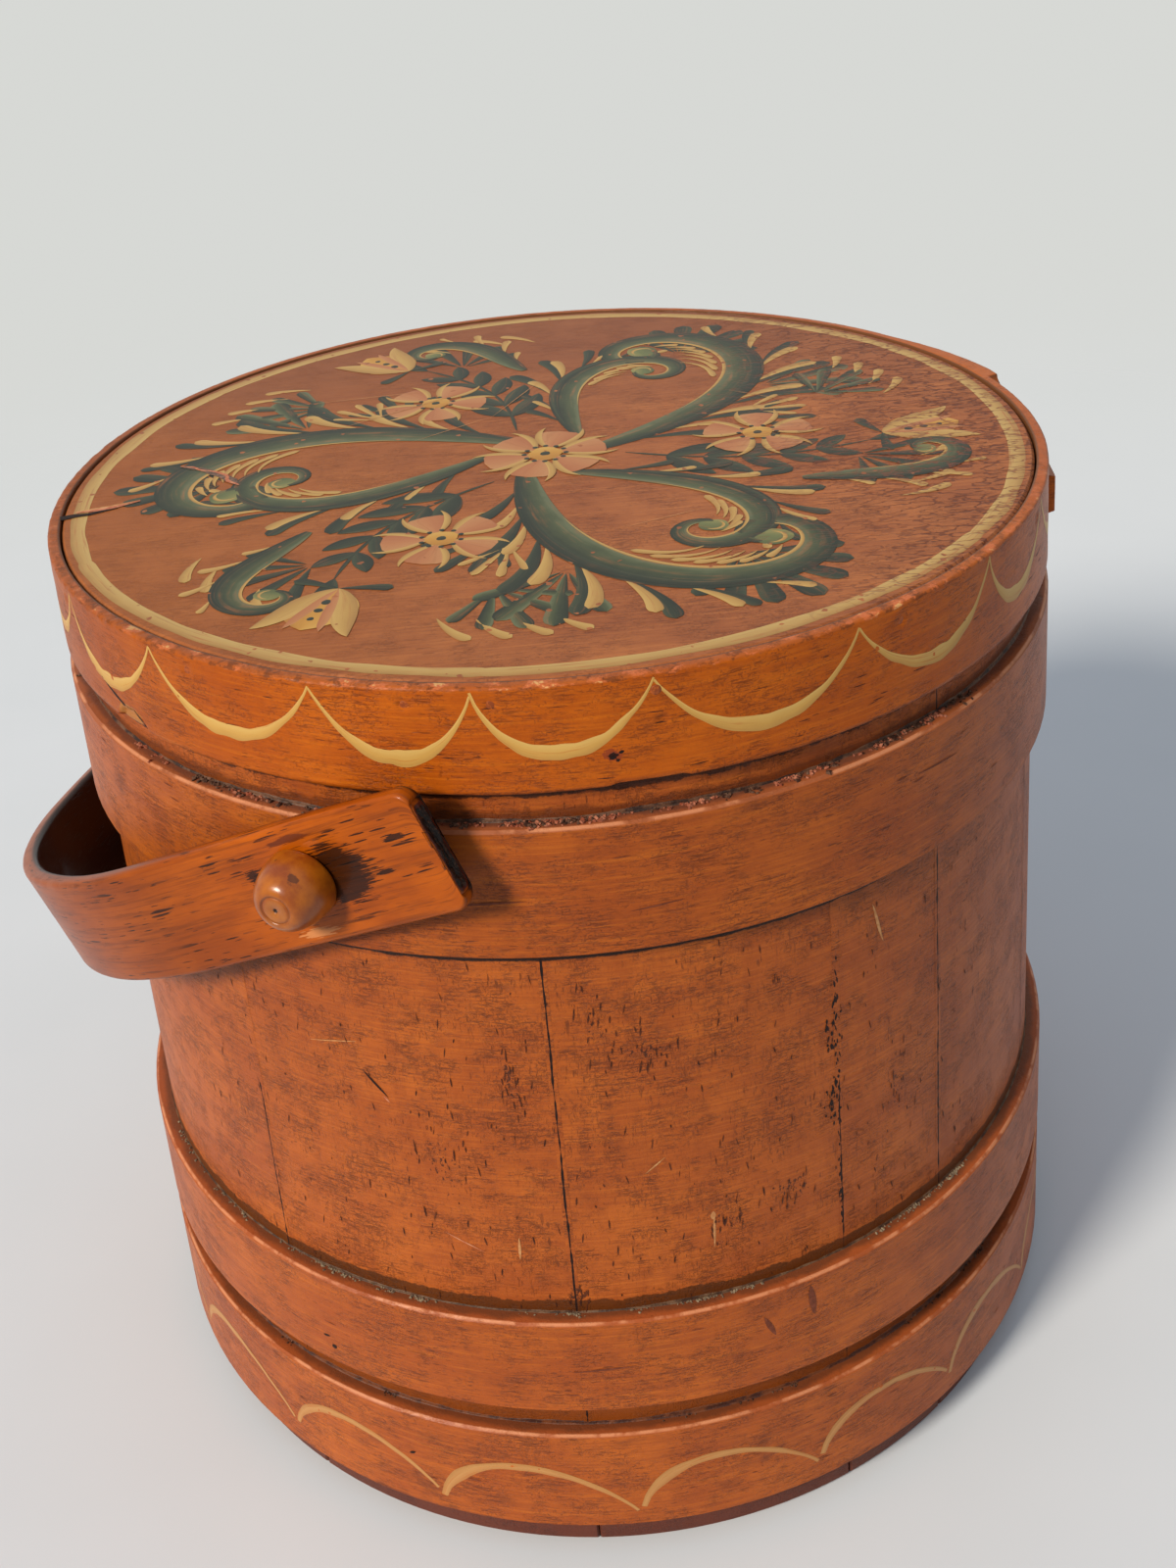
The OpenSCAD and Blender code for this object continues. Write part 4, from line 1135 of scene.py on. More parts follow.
def make_rim():
    """The bent band round the lid board, with its raised end, dimples, splinter and worn top edge. It stands
    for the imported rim, which is plainer."""
    angles = []
    angle = -180.0
    while angle < 180.0:
        angles.append(angle)
        fine = FINGER_TIP - 1.2 < angle < FINGER_TIP + 1.2 or -28 < angle < -20 or 33 < angle < 36
        angle += 0.12 if fine else 0.4
    points, faces = [], []
    for angle in angles:
        section = rim_profile(angle)
        points += [round_point(angle, z, radius) for radius, z in section]
    ring = len(section)
    for i in range(len(angles)):
        j = (i + 1) % len(angles)
        for k in range(ring):
            n = (k + 1) % ring
            faces.append((i * ring + k, j * ring + k, j * ring + n, i * ring + n))
    mesh = bpy.data.meshes.new("worn_rim")
    mesh.from_pydata(points, [], faces)
    mesh.materials.append(MATERIALS["rim"])
    make_piece("worn_rim", mesh, "lid", "rim_paint", "lid_rim")


# What repeats: nail heads and crumbs, set out by Geometry Nodes

def piece_tree(name, build_one):
    """A node tree that puts one small piece on every point of its input, turned to the point's own way and
    scaled by its size. Its inputs are the piece's radius and its material."""
    tree = bpy.data.node_groups.new(name, "GeometryNodeTree")
    face = tree.interface
    face.new_socket("Geometry", in_out="INPUT", socket_type="NodeSocketGeometry")
    face.new_socket("Piece radius", in_out="INPUT", socket_type="NodeSocketFloat")
    face.new_socket("Piece height", in_out="INPUT", socket_type="NodeSocketFloat")
    face.new_socket("Seed", in_out="INPUT", socket_type="NodeSocketInt")
    face.new_socket("Finish", in_out="INPUT", socket_type="NodeSocketMaterial")
    face.new_socket("Geometry", in_out="OUTPUT", socket_type="NodeSocketGeometry")
    inputs = add(tree, "NodeGroupInput").outputs
    one = build_one(tree, inputs)
    way = add(tree, "GeometryNodeInputNamedAttribute", {"Name": "way"}, data_type="FLOAT_VECTOR")
    size = add(tree, "GeometryNodeInputNamedAttribute", {"Name": "size"}, data_type="FLOAT")
    turn = add(tree, "FunctionNodeAlignRotationToVector", {"Vector": way.outputs["Attribute"]}, axis="Z")
    spin = add(tree, "FunctionNodeRandomValue", {"Min": (0, 0, 0), "Max": (0, 0, 2 * math.pi),
                                                 "Seed": inputs["Seed"]}, data_type="FLOAT_VECTOR")
    spin = add(tree, "FunctionNodeEulerToRotation", {0: spin.outputs[0]})
    spun = add(tree, "FunctionNodeRotateRotation", {"Rotation": turn.outputs[0], "Rotate By": spin.outputs[0]},
               rotation_space="LOCAL")
    placed = add(tree, "GeometryNodeInstanceOnPoints", {
        "Points": inputs["Geometry"], "Instance": one, "Rotation": spun.outputs[0],
        "Scale": size.outputs["Attribute"]})
    solid = add(tree, "GeometryNodeRealizeInstances", {"Geometry": placed.outputs[0]})
    named = add(tree, "GeometryNodeSetMaterial", {"Geometry": solid.outputs[0], "Material": inputs["Finish"]})
    add(tree, "NodeGroupOutput", {0: named.outputs[0]})
    return tree


def nail_head(tree, inputs):
    """A low domed disc."""
    ball = add(tree, "GeometryNodeMeshUVSphere", {"Segments": 16, "Rings": 8, "Radius": inputs["Piece radius"]})
    flat = add(tree, "ShaderNodeCombineXYZ", {0: 1.0, 1: 1.0, 2: inputs["Piece height"]})
    shaped = add(tree, "GeometryNodeTransform", {"Geometry": ball.outputs[0], "Scale": flat.outputs[0]})
    return shaped.outputs[0]


def crumb(tree, inputs):
    """A broken bit: a coarse ball whose corners are pushed about."""
    ball = add(tree, "GeometryNodeMeshIcoSphere", {"Radius": inputs["Piece radius"], "Subdivisions": 1})
    place = add(tree, "GeometryNodeInputPosition")
    lumps = add(tree, "ShaderNodeTexNoise", {"Vector": place.outputs[0], "Scale": 1300.0, "Detail": 1.0})
    push = add(tree, "ShaderNodeVectorMath", {0: lumps.outputs["Color"], 1: (0.5, 0.5, 0.5)}, operation="SUBTRACT")
    scaled = add(tree, "ShaderNodeVectorMath", {0: push.outputs[0]}, operation="SCALE")
    tree.links.new(maths(tree, "MULTIPLY", inputs["Piece radius"], 2.4), scaled.inputs["Scale"])
    moved = add(tree, "GeometryNodeSetPosition", {"Geometry": ball.outputs[0], "Offset": scaled.outputs[0]})
    flat = add(tree, "ShaderNodeCombineXYZ", {0: 1.0, 1: 1.0, 2: inputs["Piece height"]})
    shaped = add(tree, "GeometryNodeTransform", {"Geometry": moved.outputs[0], "Scale": flat.outputs[0]})
    return shaped.outputs[0]


def set_out(name, tree, places, radius, height, seed, finish_name, body, slot, *nodes, smooth=True):
    """Runs a piece tree on places, each a point, the way it faces and its size, and keeps one plain mesh."""
    mesh = bpy.data.meshes.new(name + "_points")
    mesh.from_pydata([place[0] for place in places], [], [])
    way = mesh.attributes.new("way", "FLOAT_VECTOR", "POINT")
    way.data.foreach_set("vector", [value for place in places for value in place[1]])
    size = mesh.attributes.new("size", "FLOAT", "POINT")
    size.data.foreach_set("value", [place[2] for place in places])
    base = bpy.data.objects.new(name + "_points", mesh)
    bpy.context.scene.collection.objects.link(base)
    work = base.modifiers.new("set out", "NODES")
    work.node_group = tree
    values = {"Piece radius": radius * MM, "Piece height": height, "Seed": seed, "Finish": MATERIALS[finish_name]}
    for item in tree.interface.items_tree:
        if item.in_out == "INPUT" and item.name in values:
            work[item.identifier] = values[item.name]
    graph = bpy.context.evaluated_depsgraph_get()
    made = bpy.data.meshes.new_from_object(base.evaluated_get(graph), preserve_all_data_layers=True,
                                           depsgraph=graph)
    made.name = name
    bpy.data.objects.remove(base)
    bpy.data.meshes.remove(mesh)
    return make_piece(name, made, body, slot, *nodes, smooth=smooth)


def make_nail_heads(tree):
    """The rim's nails: each head lies in its dimple, nearly flush."""
    places = []
    for angle, z in RIM_NAILS:
        out = rim_radius(z) + rim_relief(angle, z) + 0.02
        way = round_point(angle, 0, 1000)
        places.append((round_point(angle, z, out), way, 1.0))
    set_out("rim_nail_heads", tree, places, 1.35, 0.22, 1, "painted_nails", "lid", "iron", "lid_rim_nails")


def make_crumbs(tree):
    """Flakes and grit on the hoops' top edges, thickest on the upper hoop at the front right, as dirt lies
    that was never wiped away."""
    for name, finish_name, spans in (
            ("upper_hoop", "red_crumbs", ((14, 70, 210), (-30, 5, 40), (90, 350, 60))),
            ("upper_hoop", "dark_crumbs", ((14, 72, 230), (-16, 2, 60), (90, 350, 90))),
            ("middle_hoop", "grey_crumbs", ((-45, 75, 330), (90, 320, 200))),
            ("bottom_hoop", "dark_crumbs", ((-40, 80, 120), (90, 320, 120)))):
        dice = random.Random(len(name) + len(finish_name))
        top = HOOP_LEVELS[name][1]
        thick = HOOP_THICK[name]
        places = []
        for start, end, count in spans:
            clumps = [(dice.uniform(start, end), dice.uniform(0.3, 1.6)) for _ in range(count // 9 + 1)]
            for _ in range(count):
                middle, spread = dice.choice(clumps)
                angle = dice.gauss(middle, spread)
                slide = min(0.75, abs(dice.gauss(0, 0.26 if name == "upper_hoop" else 0.12)))
                out = stave_radius(top) + 0.3 + slide * thick
                tilt = Vector((dice.uniform(-1, 1), dice.uniform(-1, 1), 1.4)).normalized()
                places.append((round_point(angle, top + 0.1, out), tilt, dice.uniform(0.35, 1.25)))
        radius = {"upper_hoop": 0.62, "middle_hoop": 0.42, "bottom_hoop": 0.4}[name]
        set_out("%s_%s" % (name, finish_name), tree, places, radius, 0.75, 5, finish_name, "bucket", "painted_hoop",
                smooth=False)


def make_fillet(name, finish_name, rise, spread):
    """The run of dirt in the corner above a hoop, with a ragged upper edge. rise and spread are how far it
    reaches up the staves and out over the hoop at its thickest."""
    top = HOOP_LEVELS[name][1]
    columns = 720
    rows = 6
    points, faces = [], []
    for i in range(columns):
        angle = 360 * i / columns
        a = math.radians(angle)
        x, y = math.cos(a), math.sin(a)
        up = rise * (0.62 + 0.3 * waver(x * 5, y * 5, 11) + 0.12 * waver(x * 40, y * 40, 12))
        out = spread * (0.6 + 0.3 * waver(x * 7, y * 7, 13) + 0.2 * waver(x * 50, y * 50, 14))
        up, out = max(0.4, up), max(0.2, out)
        for k in range(rows + 1):
            t = k / rows
            z = top - 0.1 + up * (1 - t) ** 2.2
            bulge = 0.05 + out * t ** 2.0 + 0.05 * waver(x * 90, y * 90 + t * 4, 15) * math.sin(math.pi * t)
            points.append(round_point(angle, z, stave_radius(z) + bulge - (0.15 if k == 0 else 0)))
        points.append(round_point(angle, top - 0.3, stave_radius(top) - 0.3))
    ring = rows + 2
    for i in range(columns):
        j = (i + 1) % columns
        for k in range(ring):
            n = (k + 1) % ring
            faces.append((i * ring + k, i * ring + n, j * ring + n, j * ring + k))
    mesh = bpy.data.meshes.new(name + "_dirt")
    mesh.from_pydata(points, [], faces)
    mesh.materials.append(MATERIALS[finish_name])
    return make_piece(name + "_dirt", mesh, "bucket", "painted_hoop")


# Old marks on the staves and hoops

def stave_surface(u, v, lift):
    """Stave drawing: u is the angle round in degrees times its length at half height, v the height."""
    return round_point(u / ROUND_MM, v, stave_radius(v) + lift)


# Length of one degree round the staves at half height
ROUND_MM = math.radians(148.5)


def stave_marks(strokes):
    """Scratches, pores and rubbed places that show as single marks, and paint that bridges one joint."""
    def line(angle, z, way, reach, half, kind, bend=0.0, form="leaf"):
        path = flow((angle * ROUND_MM, z), way, reach, (bend, -bend), 12)
        strokes.ribbon(path, shape(path, half, form), kind, 2, 2)

    line(0.3, 180.2, -52, 10.5, 0.4, "gap", 1.5)
    line(2.4, 172.6, -50, 2.4, 0.3, "pink_wood")
    line(15.6, 127.0, -92, 8.0, 0.4, "raw_wood")
    line(36.7, 130.0, -94, 13.0, 0.36, "raw_wood", 0.8)
    line(36.6, 130.2, -95, 3.0, 0.8, "raw_wood")
    line(57.0, 214.0, -70, 14.0, 0.5, "raw_wood", -2.0)
    line(29.6, 148.0, 40, 7.5, 0.25, "raw_wood")
    line(7.5, 126.5, -30, 12.0, 0.22, "pink_wood", 0.8)
    line(-6.0, 186.0, 12, 16.0, 0.2, "raw_wood", 0.4)
    dice = random.Random(7)
    # Dots along one joint, thickest in its middle, and single open pores all over the front
    for middle, low, high, count, spread in ((51.8, 110, 205, 50, 0.2), (51.4, 174, 190, 26, 0.6),
                                             (51.4, 148, 164, 30, 0.5)):
        for _ in range(count):
            line(dice.gauss(middle, spread), dice.uniform(low, high), -90 + dice.uniform(-14, 14),
                 dice.uniform(0.8, 2.6), dice.uniform(0.14, 0.4), "gap")
    for _ in range(320):
        line(dice.uniform(-25, 75), dice.uniform(100, 222), -90 + dice.uniform(-14, 14),
             dice.uniform(0.8, 3.6), dice.uniform(0.08, 0.22), "speck")
    for angle, level, sizes, _ in STAVE_SPECKS:
        for _ in range(14):
            line(dice.gauss(angle, sizes[0] * 0.3), dice.gauss(level, sizes[2] * 0.9), -90 + dice.uniform(-12, 12),
                 dice.uniform(1.0, 4.4), dice.uniform(0.1, 0.24), "speck")


# Angles at which the staves meet, and the bare heights between the hoops
STAVE_JOINTS = [-15, 21, 52, 67, 92, 111, 139, 165, 195, 217, 241, 262, 277, 290, 312]


def joint_lines(strokes):
    """The thin, ragged dark line of each stave joint. Old paint has closed the groove beside it, and at the
    front also the upper half of two joints and three joints' ends above the upper hoop."""
    dice = random.Random(3)
    for angle in STAVE_JOINTS:
        for low, high in ((52.0, 64.0), (98.0, 225.0), (260.0, 271.5)):
            if angle in (-15, 21, 52) and low > 250:
                continue
            steps = round((high - low) / 1.2)
            if angle in (-15, 52) and low == 98.0:
                steps = steps // 2
            path, widths = [], []
            for i in range(steps + 1):
                z = low + 1.2 * i
                path.append((angle * ROUND_MM + 0.16 * waver(z * 0.09, angle, 4), z))
                half = 0.26 if angle == 21 else 0.2
                widths.append(max(0.08, half + 0.16 * waver(z * 0.35, angle, 5) + dice.uniform(-0.06, 0.06)))
            strokes.ribbon(path, widths, "gap", 2, 2)


def fill_joints(strokes):
    """The paint that has closed the grooves."""
    for angle in STAVE_JOINTS:
        for low, high in ((52.0, 64.0), (98.0, 225.0), (260.0, 271.5)):
            path = [(angle * ROUND_MM, low + (high - low) * i / 30) for i in range(31)]
            strokes.ribbon(path, [1.2] * 31, "fill", 0, 2)


def rim_marks(strokes):
    """The crack that runs down to the rim's splinter, the dark hole in it, and chips at the knot."""
    def at(angle, z):
        return (math.radians(angle) * RIM_RADIUS_TOP, z)

    crack = [at(-30.1, 279.4), at(-28.4, 277.8), at(-27.0, 276.6), at(-25.6, 275.4), at(-24.4, 274.6)]
    strokes.ribbon(crack, (0.1, 0.35, 0.5, 0.45, 0.3), "gap", 1, 2)
    hole = [at(-23.4, 274.8), at(-22.8, 273.6), at(-22.2, 272.4), at(-21.6, 271.4)]
    strokes.ribbon(hole, (0.4, 1.0, 1.2, 0.5), "gap", 2, 3)
    for angle, z, reach in ((29.3, 278.3, 1.6), (30.2, 279.6, 1.4), (29.9, 277.6, 1.0)):
        chip = flow(at(angle, z), 20, reach, (0.0, 0.0), 6)
        strokes.ribbon(chip, shape(chip, 0.4, "leaf"), "gap", 2, 2)
    dice = random.Random(12)
    for _ in range(60):
        angle, z = dice.uniform(-45, 100), dice.uniform(273, 294)
        dash = flow(at(angle, z), dice.uniform(-8, 8), dice.uniform(1.5, 5.0), (0.0, 0.0), 6)
        strokes.ribbon(dash, shape(dash, dice.uniform(0.08, 0.18), "leaf"), "speck", 0, 2)


def hoop_marks(strokes):
    """Dark rubs and small knocks on the two lower hoops and the upper one."""
    dice = random.Random(21)
    for angle, z, way, reach, half, kind in (
            (46.5, 96, -86, 12, 1.1, "rub"), (41, 90, -70, 9, 0.8, "rub"), (-8.5, 70, 40, 2.0, 0.9, "gap"),
            (-9.6, 74, 10, 2.6, 0.5, "gap"), (0.0, 34.8, 30, 2.4, 0.5, "gap"), (30, 236, 4, 14, 0.3, "rub"),
            (12, 240, 2, 22, 0.35, "rub"), (62, 250, -4, 16, 0.3, "rub"), (20, 80, 3, 18, 0.4, "rub")):
        path = flow((angle * ROUND_MM, z), way, reach, (0.4, -0.4), 12)
        strokes.ribbon(path, shape(path, half, "leaf"), kind, 0, 3)
    for _ in range(70):
        name = dice.choice(list(HOOP_LEVELS))
        low, high = HOOP_LEVELS[name]
        path = flow((dice.uniform(-60, 100) * ROUND_MM, dice.uniform(low + 2, high - 2)), dice.uniform(-6, 6),
                    dice.uniform(1.5, 5.0), (0.0, 0.0), 6)
        strokes.ribbon(path, shape(path, dice.uniform(0.12, 0.3), "leaf"), "rub", 0, 2)


def all_hoops_surface(u, v, lift):
    """Hoop drawing at any height that a hoop covers."""
    thick = next((HOOP_THICK[name] for name, (low, high) in HOOP_LEVELS.items() if low <= v <= high), 0.0)
    return round_point(u / ROUND_MM, v, stave_radius(v) + 0.05 + thick + lift)


# Handle and pegs

# The bent strap, as the source has it: width, thickness, tail, reach, and the bends' radii
STRAP_WIDTH = 34.0
STRAP_THICK = 5.5
STRAP_TAIL = 42.0
HANDLE_REACH = 177.5
CORNER_RADIUS = 123.0
GRIP_RADIUS = 209.0
HOLE_OFFSET = 1.5
HANG_ANGLE = 24.91
STRAP_CORNER = 4.0
STRAP_EDGE = 1.6
PEG_RADIUS = 5.5
PIVOT_GAP = 0.06
# The peg's head: radius, length, its short cylinder, and the flat tip's radius
HEAD_RADIUS = 9.75
HEAD_LENGTH = 12.7
HEAD_FOOT = 1.2
TIP_RADIUS = 4.2


def strap_route():
    """Points of the strap's outer face from the near tail to the far one, each with the direction it faces."""
    corner_q = STRAP_OUTER - CORNER_RADIUS
    arm = HANDLE_REACH - GRIP_RADIUS + math.sqrt((GRIP_RADIUS - CORNER_RADIUS) ** 2 - corner_q ** 2)
    half = math.degrees(math.asin(corner_q / (GRIP_RADIUS - CORNER_RADIUS)))
    route = []
    tail_steps, arm_steps, bend_steps, grip_steps = 10, 50, 34, 20
    for i in range(tail_steps):
        t = 1 - math.cos(math.pi / 2 * i / tail_steps)
        route.append((STRAP_TAIL - STRAP_CORNER * t, STRAP_OUTER, 90.0))
    for i in range(arm_steps + 1):
        s = STRAP_TAIL - STRAP_CORNER - (STRAP_TAIL - STRAP_CORNER + arm) * i / arm_steps
        route.append((s, STRAP_OUTER, 90.0))
    for i in range(1, bend_steps + 1):
        a = 90 + (90 - half) * i / bend_steps
        c, s = math.cos(math.radians(a)), math.sin(math.radians(a))
        route.append((CORNER_RADIUS * c - arm, CORNER_RADIUS * s + corner_q, a))
    for i in range(1, grip_steps + 1):
        a = 180 - half + half * i / grip_steps
        c, s = math.cos(math.radians(a)), math.sin(math.radians(a))
        route.append((GRIP_RADIUS * c + GRIP_RADIUS - HANDLE_REACH, GRIP_RADIUS * s, a))
    mirrored = [(x, -y, -a) for x, y, a in route[:-1]]
    return mirrored + route[::-1]


def strap_section(steps):
    """Outline of the strap across its length, as (out, across), with rounded edges."""
    edge = STRAP_EDGE
    half = STRAP_WIDTH / 2
    outline = []
    for corner, (t, w) in enumerate(((-edge, half - edge), (edge - STRAP_THICK, half - edge),
                                     (edge - STRAP_THICK, edge - half), (-edge, edge - half))):
        for k in range(5):
            a = math.radians(90 * corner + 22.5 * k)
            outline.append((t + edge * math.cos(a), w + edge * math.sin(a)))
        end = ((edge - STRAP_THICK, half), (-STRAP_THICK, edge - half), (-edge, -half), (0.0, half - edge))[corner]
        last = outline[-1]
        count = steps if corner in (1, 3) else 2
        for k in range(1, count):
            s = k / count
            outline.append((last[0] + (end[0] - last[0]) * s, last[1] + (end[1] - last[1]) * s))
    return outline


def strap_rings():
    """The strap's cross sections from end to end. Each has its distance from the near tail, its points as
    (x, y, across), how far it is shrunk to its middle, and how much it is an end face."""
    route = strap_route()
    section = strap_section(14)
    travelled = [0.0]
    for a, b in zip(route, route[1:]):
        travelled.append(travelled[-1] + math.hypot(b[0] - a[0], b[1] - a[1]))
    total = travelled[-1]
    # Past each tail the section closes over a rounded arris into a rough end face
    caps = [(0.45, 0.95, 0.1), (0.7, 0.84, 0.3), (0.75, 0.66, 0.7), (0.72, 0.46, 1.0), (0.6, 0.26, 1.0), (0.5, 0.08, 1.0)]
    stations = [(route[0], 0.0 - out, shrink, end, out) for out, shrink, end in reversed(caps)]
    stations += [(place, far, 1.0, 0.0, 0.0) for place, far in zip(route, travelled)]
    stations += [(route[-1], total + out, shrink, end, out) for out, shrink, end in caps]
    rings = []
    for (x, y, facing_way), far, shrink, end, out in stations:
        from_end = min(far, total - far)
        cut = 0.0
        if from_end < STRAP_CORNER:
            cut = STRAP_CORNER - math.sqrt(STRAP_CORNER ** 2 - (STRAP_CORNER - max(0.0, from_end)) ** 2)
        c, s = math.cos(math.radians(facing_way)), math.sin(math.radians(facing_way))
        ring = []
        for reach, across in section:
            wide = across * (1 - 2 * cut / STRAP_WIDTH)
            uneven = 0.3 * waver(far * 0.025, across * 0.2, 3) * abs(across) / (STRAP_WIDTH / 2)
            wide = wide * 0.988 + uneven
            inward = -0.16 * (1 + 0.6 * waver(far * 0.04, across * 0.12, 9)) * (1 if reach > -STRAP_THICK / 2 else -1)
            depth = reach + inward
            # Towards the middle of an end face the points close in and the face is broken
            depth = (depth + STRAP_THICK / 2) * shrink - STRAP_THICK / 2
            wide = wide * (1 - (1 - shrink) * 0.62 * (STRAP_THICK / STRAP_WIDTH + 0.5))
            broken = end * 0.55 * waver(wide * 0.5, depth * 0.8, 17 + (far > 0))
            along = x + (out - 0.75 + broken if x > 0 and shrink < 1 else (-0.75 if from_end <= 0 else 0.0))
            ring.append((along + depth * c, y + depth * s, wide))
        rings.append((far, ring, end))
    return rings, section


def make_handle(material):
    """The bent strap with slightly uneven edges, a hole for each peg and its two square ends, which are
    broken and dark in the middle."""
    rings, section = strap_rings()
    count = len(section)
    around = [0.0]
    for k in range(count):
        a, b = section[k], section[(k + 1) % count]
        around.append(around[-1] + math.hypot(b[0] - a[0], b[1] - a[1]))
    bm = bmesh.new()
    uv = bm.loops.layers.uv.new("strap")
    layers = {name: bm.verts.layers.float.new(name) for name in ("wear", "inside", "end")}
    made = []
    for far, ring, end in rings:
        row = []
        for (x, y, wide), (reach, across) in zip(ring, section):
            vert = bm.verts.new(Vector((x, y, wide - HOLE_OFFSET)) * MM)
            corner = soft_step(far, 95, 150) * (1 - soft_step(far, 330, 390))
            vert[layers["wear"]] = corner * soft_step(across, 12.0, 16.4)
            vert[layers["inside"]] = soft_step(-reach, STRAP_THICK - 2.2, STRAP_THICK - 0.6)
            vert[layers["end"]] = end
            row.append(vert)
        made.append(row)
    for i in range(len(made) - 1):
        for k in range(count):
            n = (k + 1) % count
            face = bm.faces.new((made[i][k], made[i][n], made[i + 1][n], made[i + 1][k]))
            values = ((rings[i][0], around[k]), (rings[i][0], around[k + 1]),
                      (rings[i + 1][0], around[k + 1]), (rings[i + 1][0], around[k]))
            for loop, value in zip(face.loops, values):
                loop[uv].uv = value
    bm.faces.new(made[0][::-1])
    bm.faces.new(made[-1])
    bmesh.ops.recalc_face_normals(bm, faces=bm.faces)
    mesh = bpy.data.meshes.new("handle_strap")
    bm.to_mesh(mesh)
    bm.free()
    hang = Matrix.Translation((0, 0, PIVOT * MM)) @ Matrix.Rotation(-math.radians(HANG_ANGLE), 4, "Y")
    mesh.transform(hang)
    mesh.materials.append(material)
    bored = bore_strap(mesh)
    make_piece("handle_strap", bored, "handle", "strap_wood", "handle")


def bore_strap(mesh):
    """Cuts the round peg holes through both arms."""
    bm = bmesh.new()
    hole = (PEG_RADIUS + PIVOT_GAP) * MM
    bmesh.ops.create_cone(bm, cap_ends=True, segments=48, radius1=hole, radius2=hole, depth=0.36)
    turn = Matrix.Translation((0, 0, PIVOT * MM)) @ Matrix.Rotation(math.pi / 2, 4, "X")
    bmesh.ops.transform(bm, matrix=turn, verts=bm.verts)
    data = bpy.data.meshes.new("bore")
    bm.to_mesh(data)
    bm.free()
    strap = bpy.data.objects.new("strap_blank", mesh)
    cutter = bpy.data.objects.new("bore", data)
    for item in (strap, cutter):
        bpy.context.scene.collection.objects.link(item)
    cut = strap.modifiers.new("bore", "BOOLEAN")
    cut.operation = "DIFFERENCE"
    cut.object = cutter
    cut.solver = "EXACT"
    graph = bpy.context.evaluated_depsgraph_get()
    bored = bpy.data.meshes.new_from_object(strap.evaluated_get(graph), preserve_all_data_layers=True,
                                            depsgraph=graph)
    bored.name = "handle_strap"
    bpy.data.objects.remove(strap)
    bpy.data.objects.remove(cutter)
    bpy.data.meshes.remove(mesh)
    return bored


def make_peg(name, side):
    """A turned peg with the small marks of the lathe in its tip: a ring and the centre's hole. side is -1
    for the near peg and 1 for the far one."""
    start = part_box("handle_peg_far")[0].y / MM
    head = PEG_TIP - HEAD_LENGTH
    profile = [(0.0, start), (PEG_RADIUS - 0.4, start), (PEG_RADIUS, start + 0.4), (PEG_RADIUS, head - 0.1),
               (PEG_RADIUS, head), (PEG_RADIUS + 0.1, head), (HEAD_RADIUS - 0.7, head), (HEAD_RADIUS - 0.2, head + 0.15),
               (HEAD_RADIUS, head + 0.6)]
    steps = 14
    for k in range(steps):
        a = math.radians(90 * k / steps)
        profile.append((TIP_RADIUS + (HEAD_RADIUS - TIP_RADIUS) * math.cos(a),
                        head + HEAD_FOOT + (HEAD_LENGTH - HEAD_FOOT) * math.sin(a)))
    profile += [(TIP_RADIUS, PEG_TIP - 0.03), (TIP_RADIUS - 0.25, PEG_TIP - 0.1), (TIP_RADIUS - 0.45, PEG_TIP - 0.4),
                (TIP_RADIUS - 0.7, PEG_TIP - 0.12), (TIP_RADIUS - 1.2, PEG_TIP), (0.8, PEG_TIP - 0.05),
                (0.55, PEG_TIP - 0.2), (0.35, PEG_TIP - 0.9), (0.0, PEG_TIP - 1.0)]
    sides = 64
    bm = bmesh.new()
    rows = []
    for i, (radius, out) in enumerate(profile):
        if radius == 0.0:
            rows.append([bm.verts.new(Vector((0, side * out, PIVOT)) * MM)] * sides)
            continue
        row = []
        for k in range(sides):
            a = 2 * math.pi * k / sides
            worn = 0.10 * waver(math.cos(a) * 1.3 + 5, math.sin(a) * 1.3 + out * 0.1, 30 + side) if out > head else 0.0
            wide = radius + worn * min(1.0, radius / HEAD_RADIUS)
            row.append(bm.verts.new(Vector((wide * math.cos(a), side * out, PIVOT + wide * math.sin(a))) * MM))
        rows.append(row)
    for first, second in zip(rows, rows[1:]):
        for k in range(sides):
            n = (k + 1) % sides
            corners = []
            for vert in (first[k], first[n], second[n], second[k]):
                if vert not in corners:
                    corners.append(vert)
            bm.faces.new(corners)
    bmesh.ops.recalc_face_normals(bm, faces=bm.faces)
    mesh = bpy.data.meshes.new(name)
    bm.to_mesh(mesh)
    bm.free()
    mesh.materials.append(MATERIALS["peg"])
    make_piece(name, mesh, "bucket", "peg_wood", "handle_peg_near" if side < 0 else "handle_peg_far")


# Stage and light

def pale_floor():
    """Stage floor: matt pale plaster. Far from the bucket it fades into the backdrop, so no horizon shows."""
    material, tree, shader, place = new_material("pale_floor")
    cloud = grain(tree, place, (120, 120, 120), 3.0)
    tree.links.new(mixed(tree, cloud, "#DEE0E2", "#D6D9DB"), shader.inputs["Base Color"])
    shader.inputs["Roughness"].default_value = 0.9
    shader.inputs["Specular IOR Level"].default_value = 0.1
    clear = add(tree, "ShaderNodeBsdfTransparent")
    both = add(tree, "ShaderNodeMixShader", {0: band(tree, radius_of(tree, place), 450, 1300),
                                             1: shader.outputs[0], 2: clear.outputs[0]})
    output = next(node for node in tree.nodes if node.type == "OUTPUT_MATERIAL")
    tree.links.new(both.outputs[0], output.inputs["Surface"])
    return material


def make_stage():
    """A round pale floor."""
    bm = bmesh.new()
    bmesh.ops.create_circle(bm, cap_ends=True, segments=96, radius=1.5)
    mesh = bpy.data.meshes.new("floor")
    bm.to_mesh(mesh)
    bm.free()
    mesh.materials.append(pale_floor())
    floor = bpy.data.objects.new("floor", mesh)
    bpy.context.scene.collection.objects.link(floor)


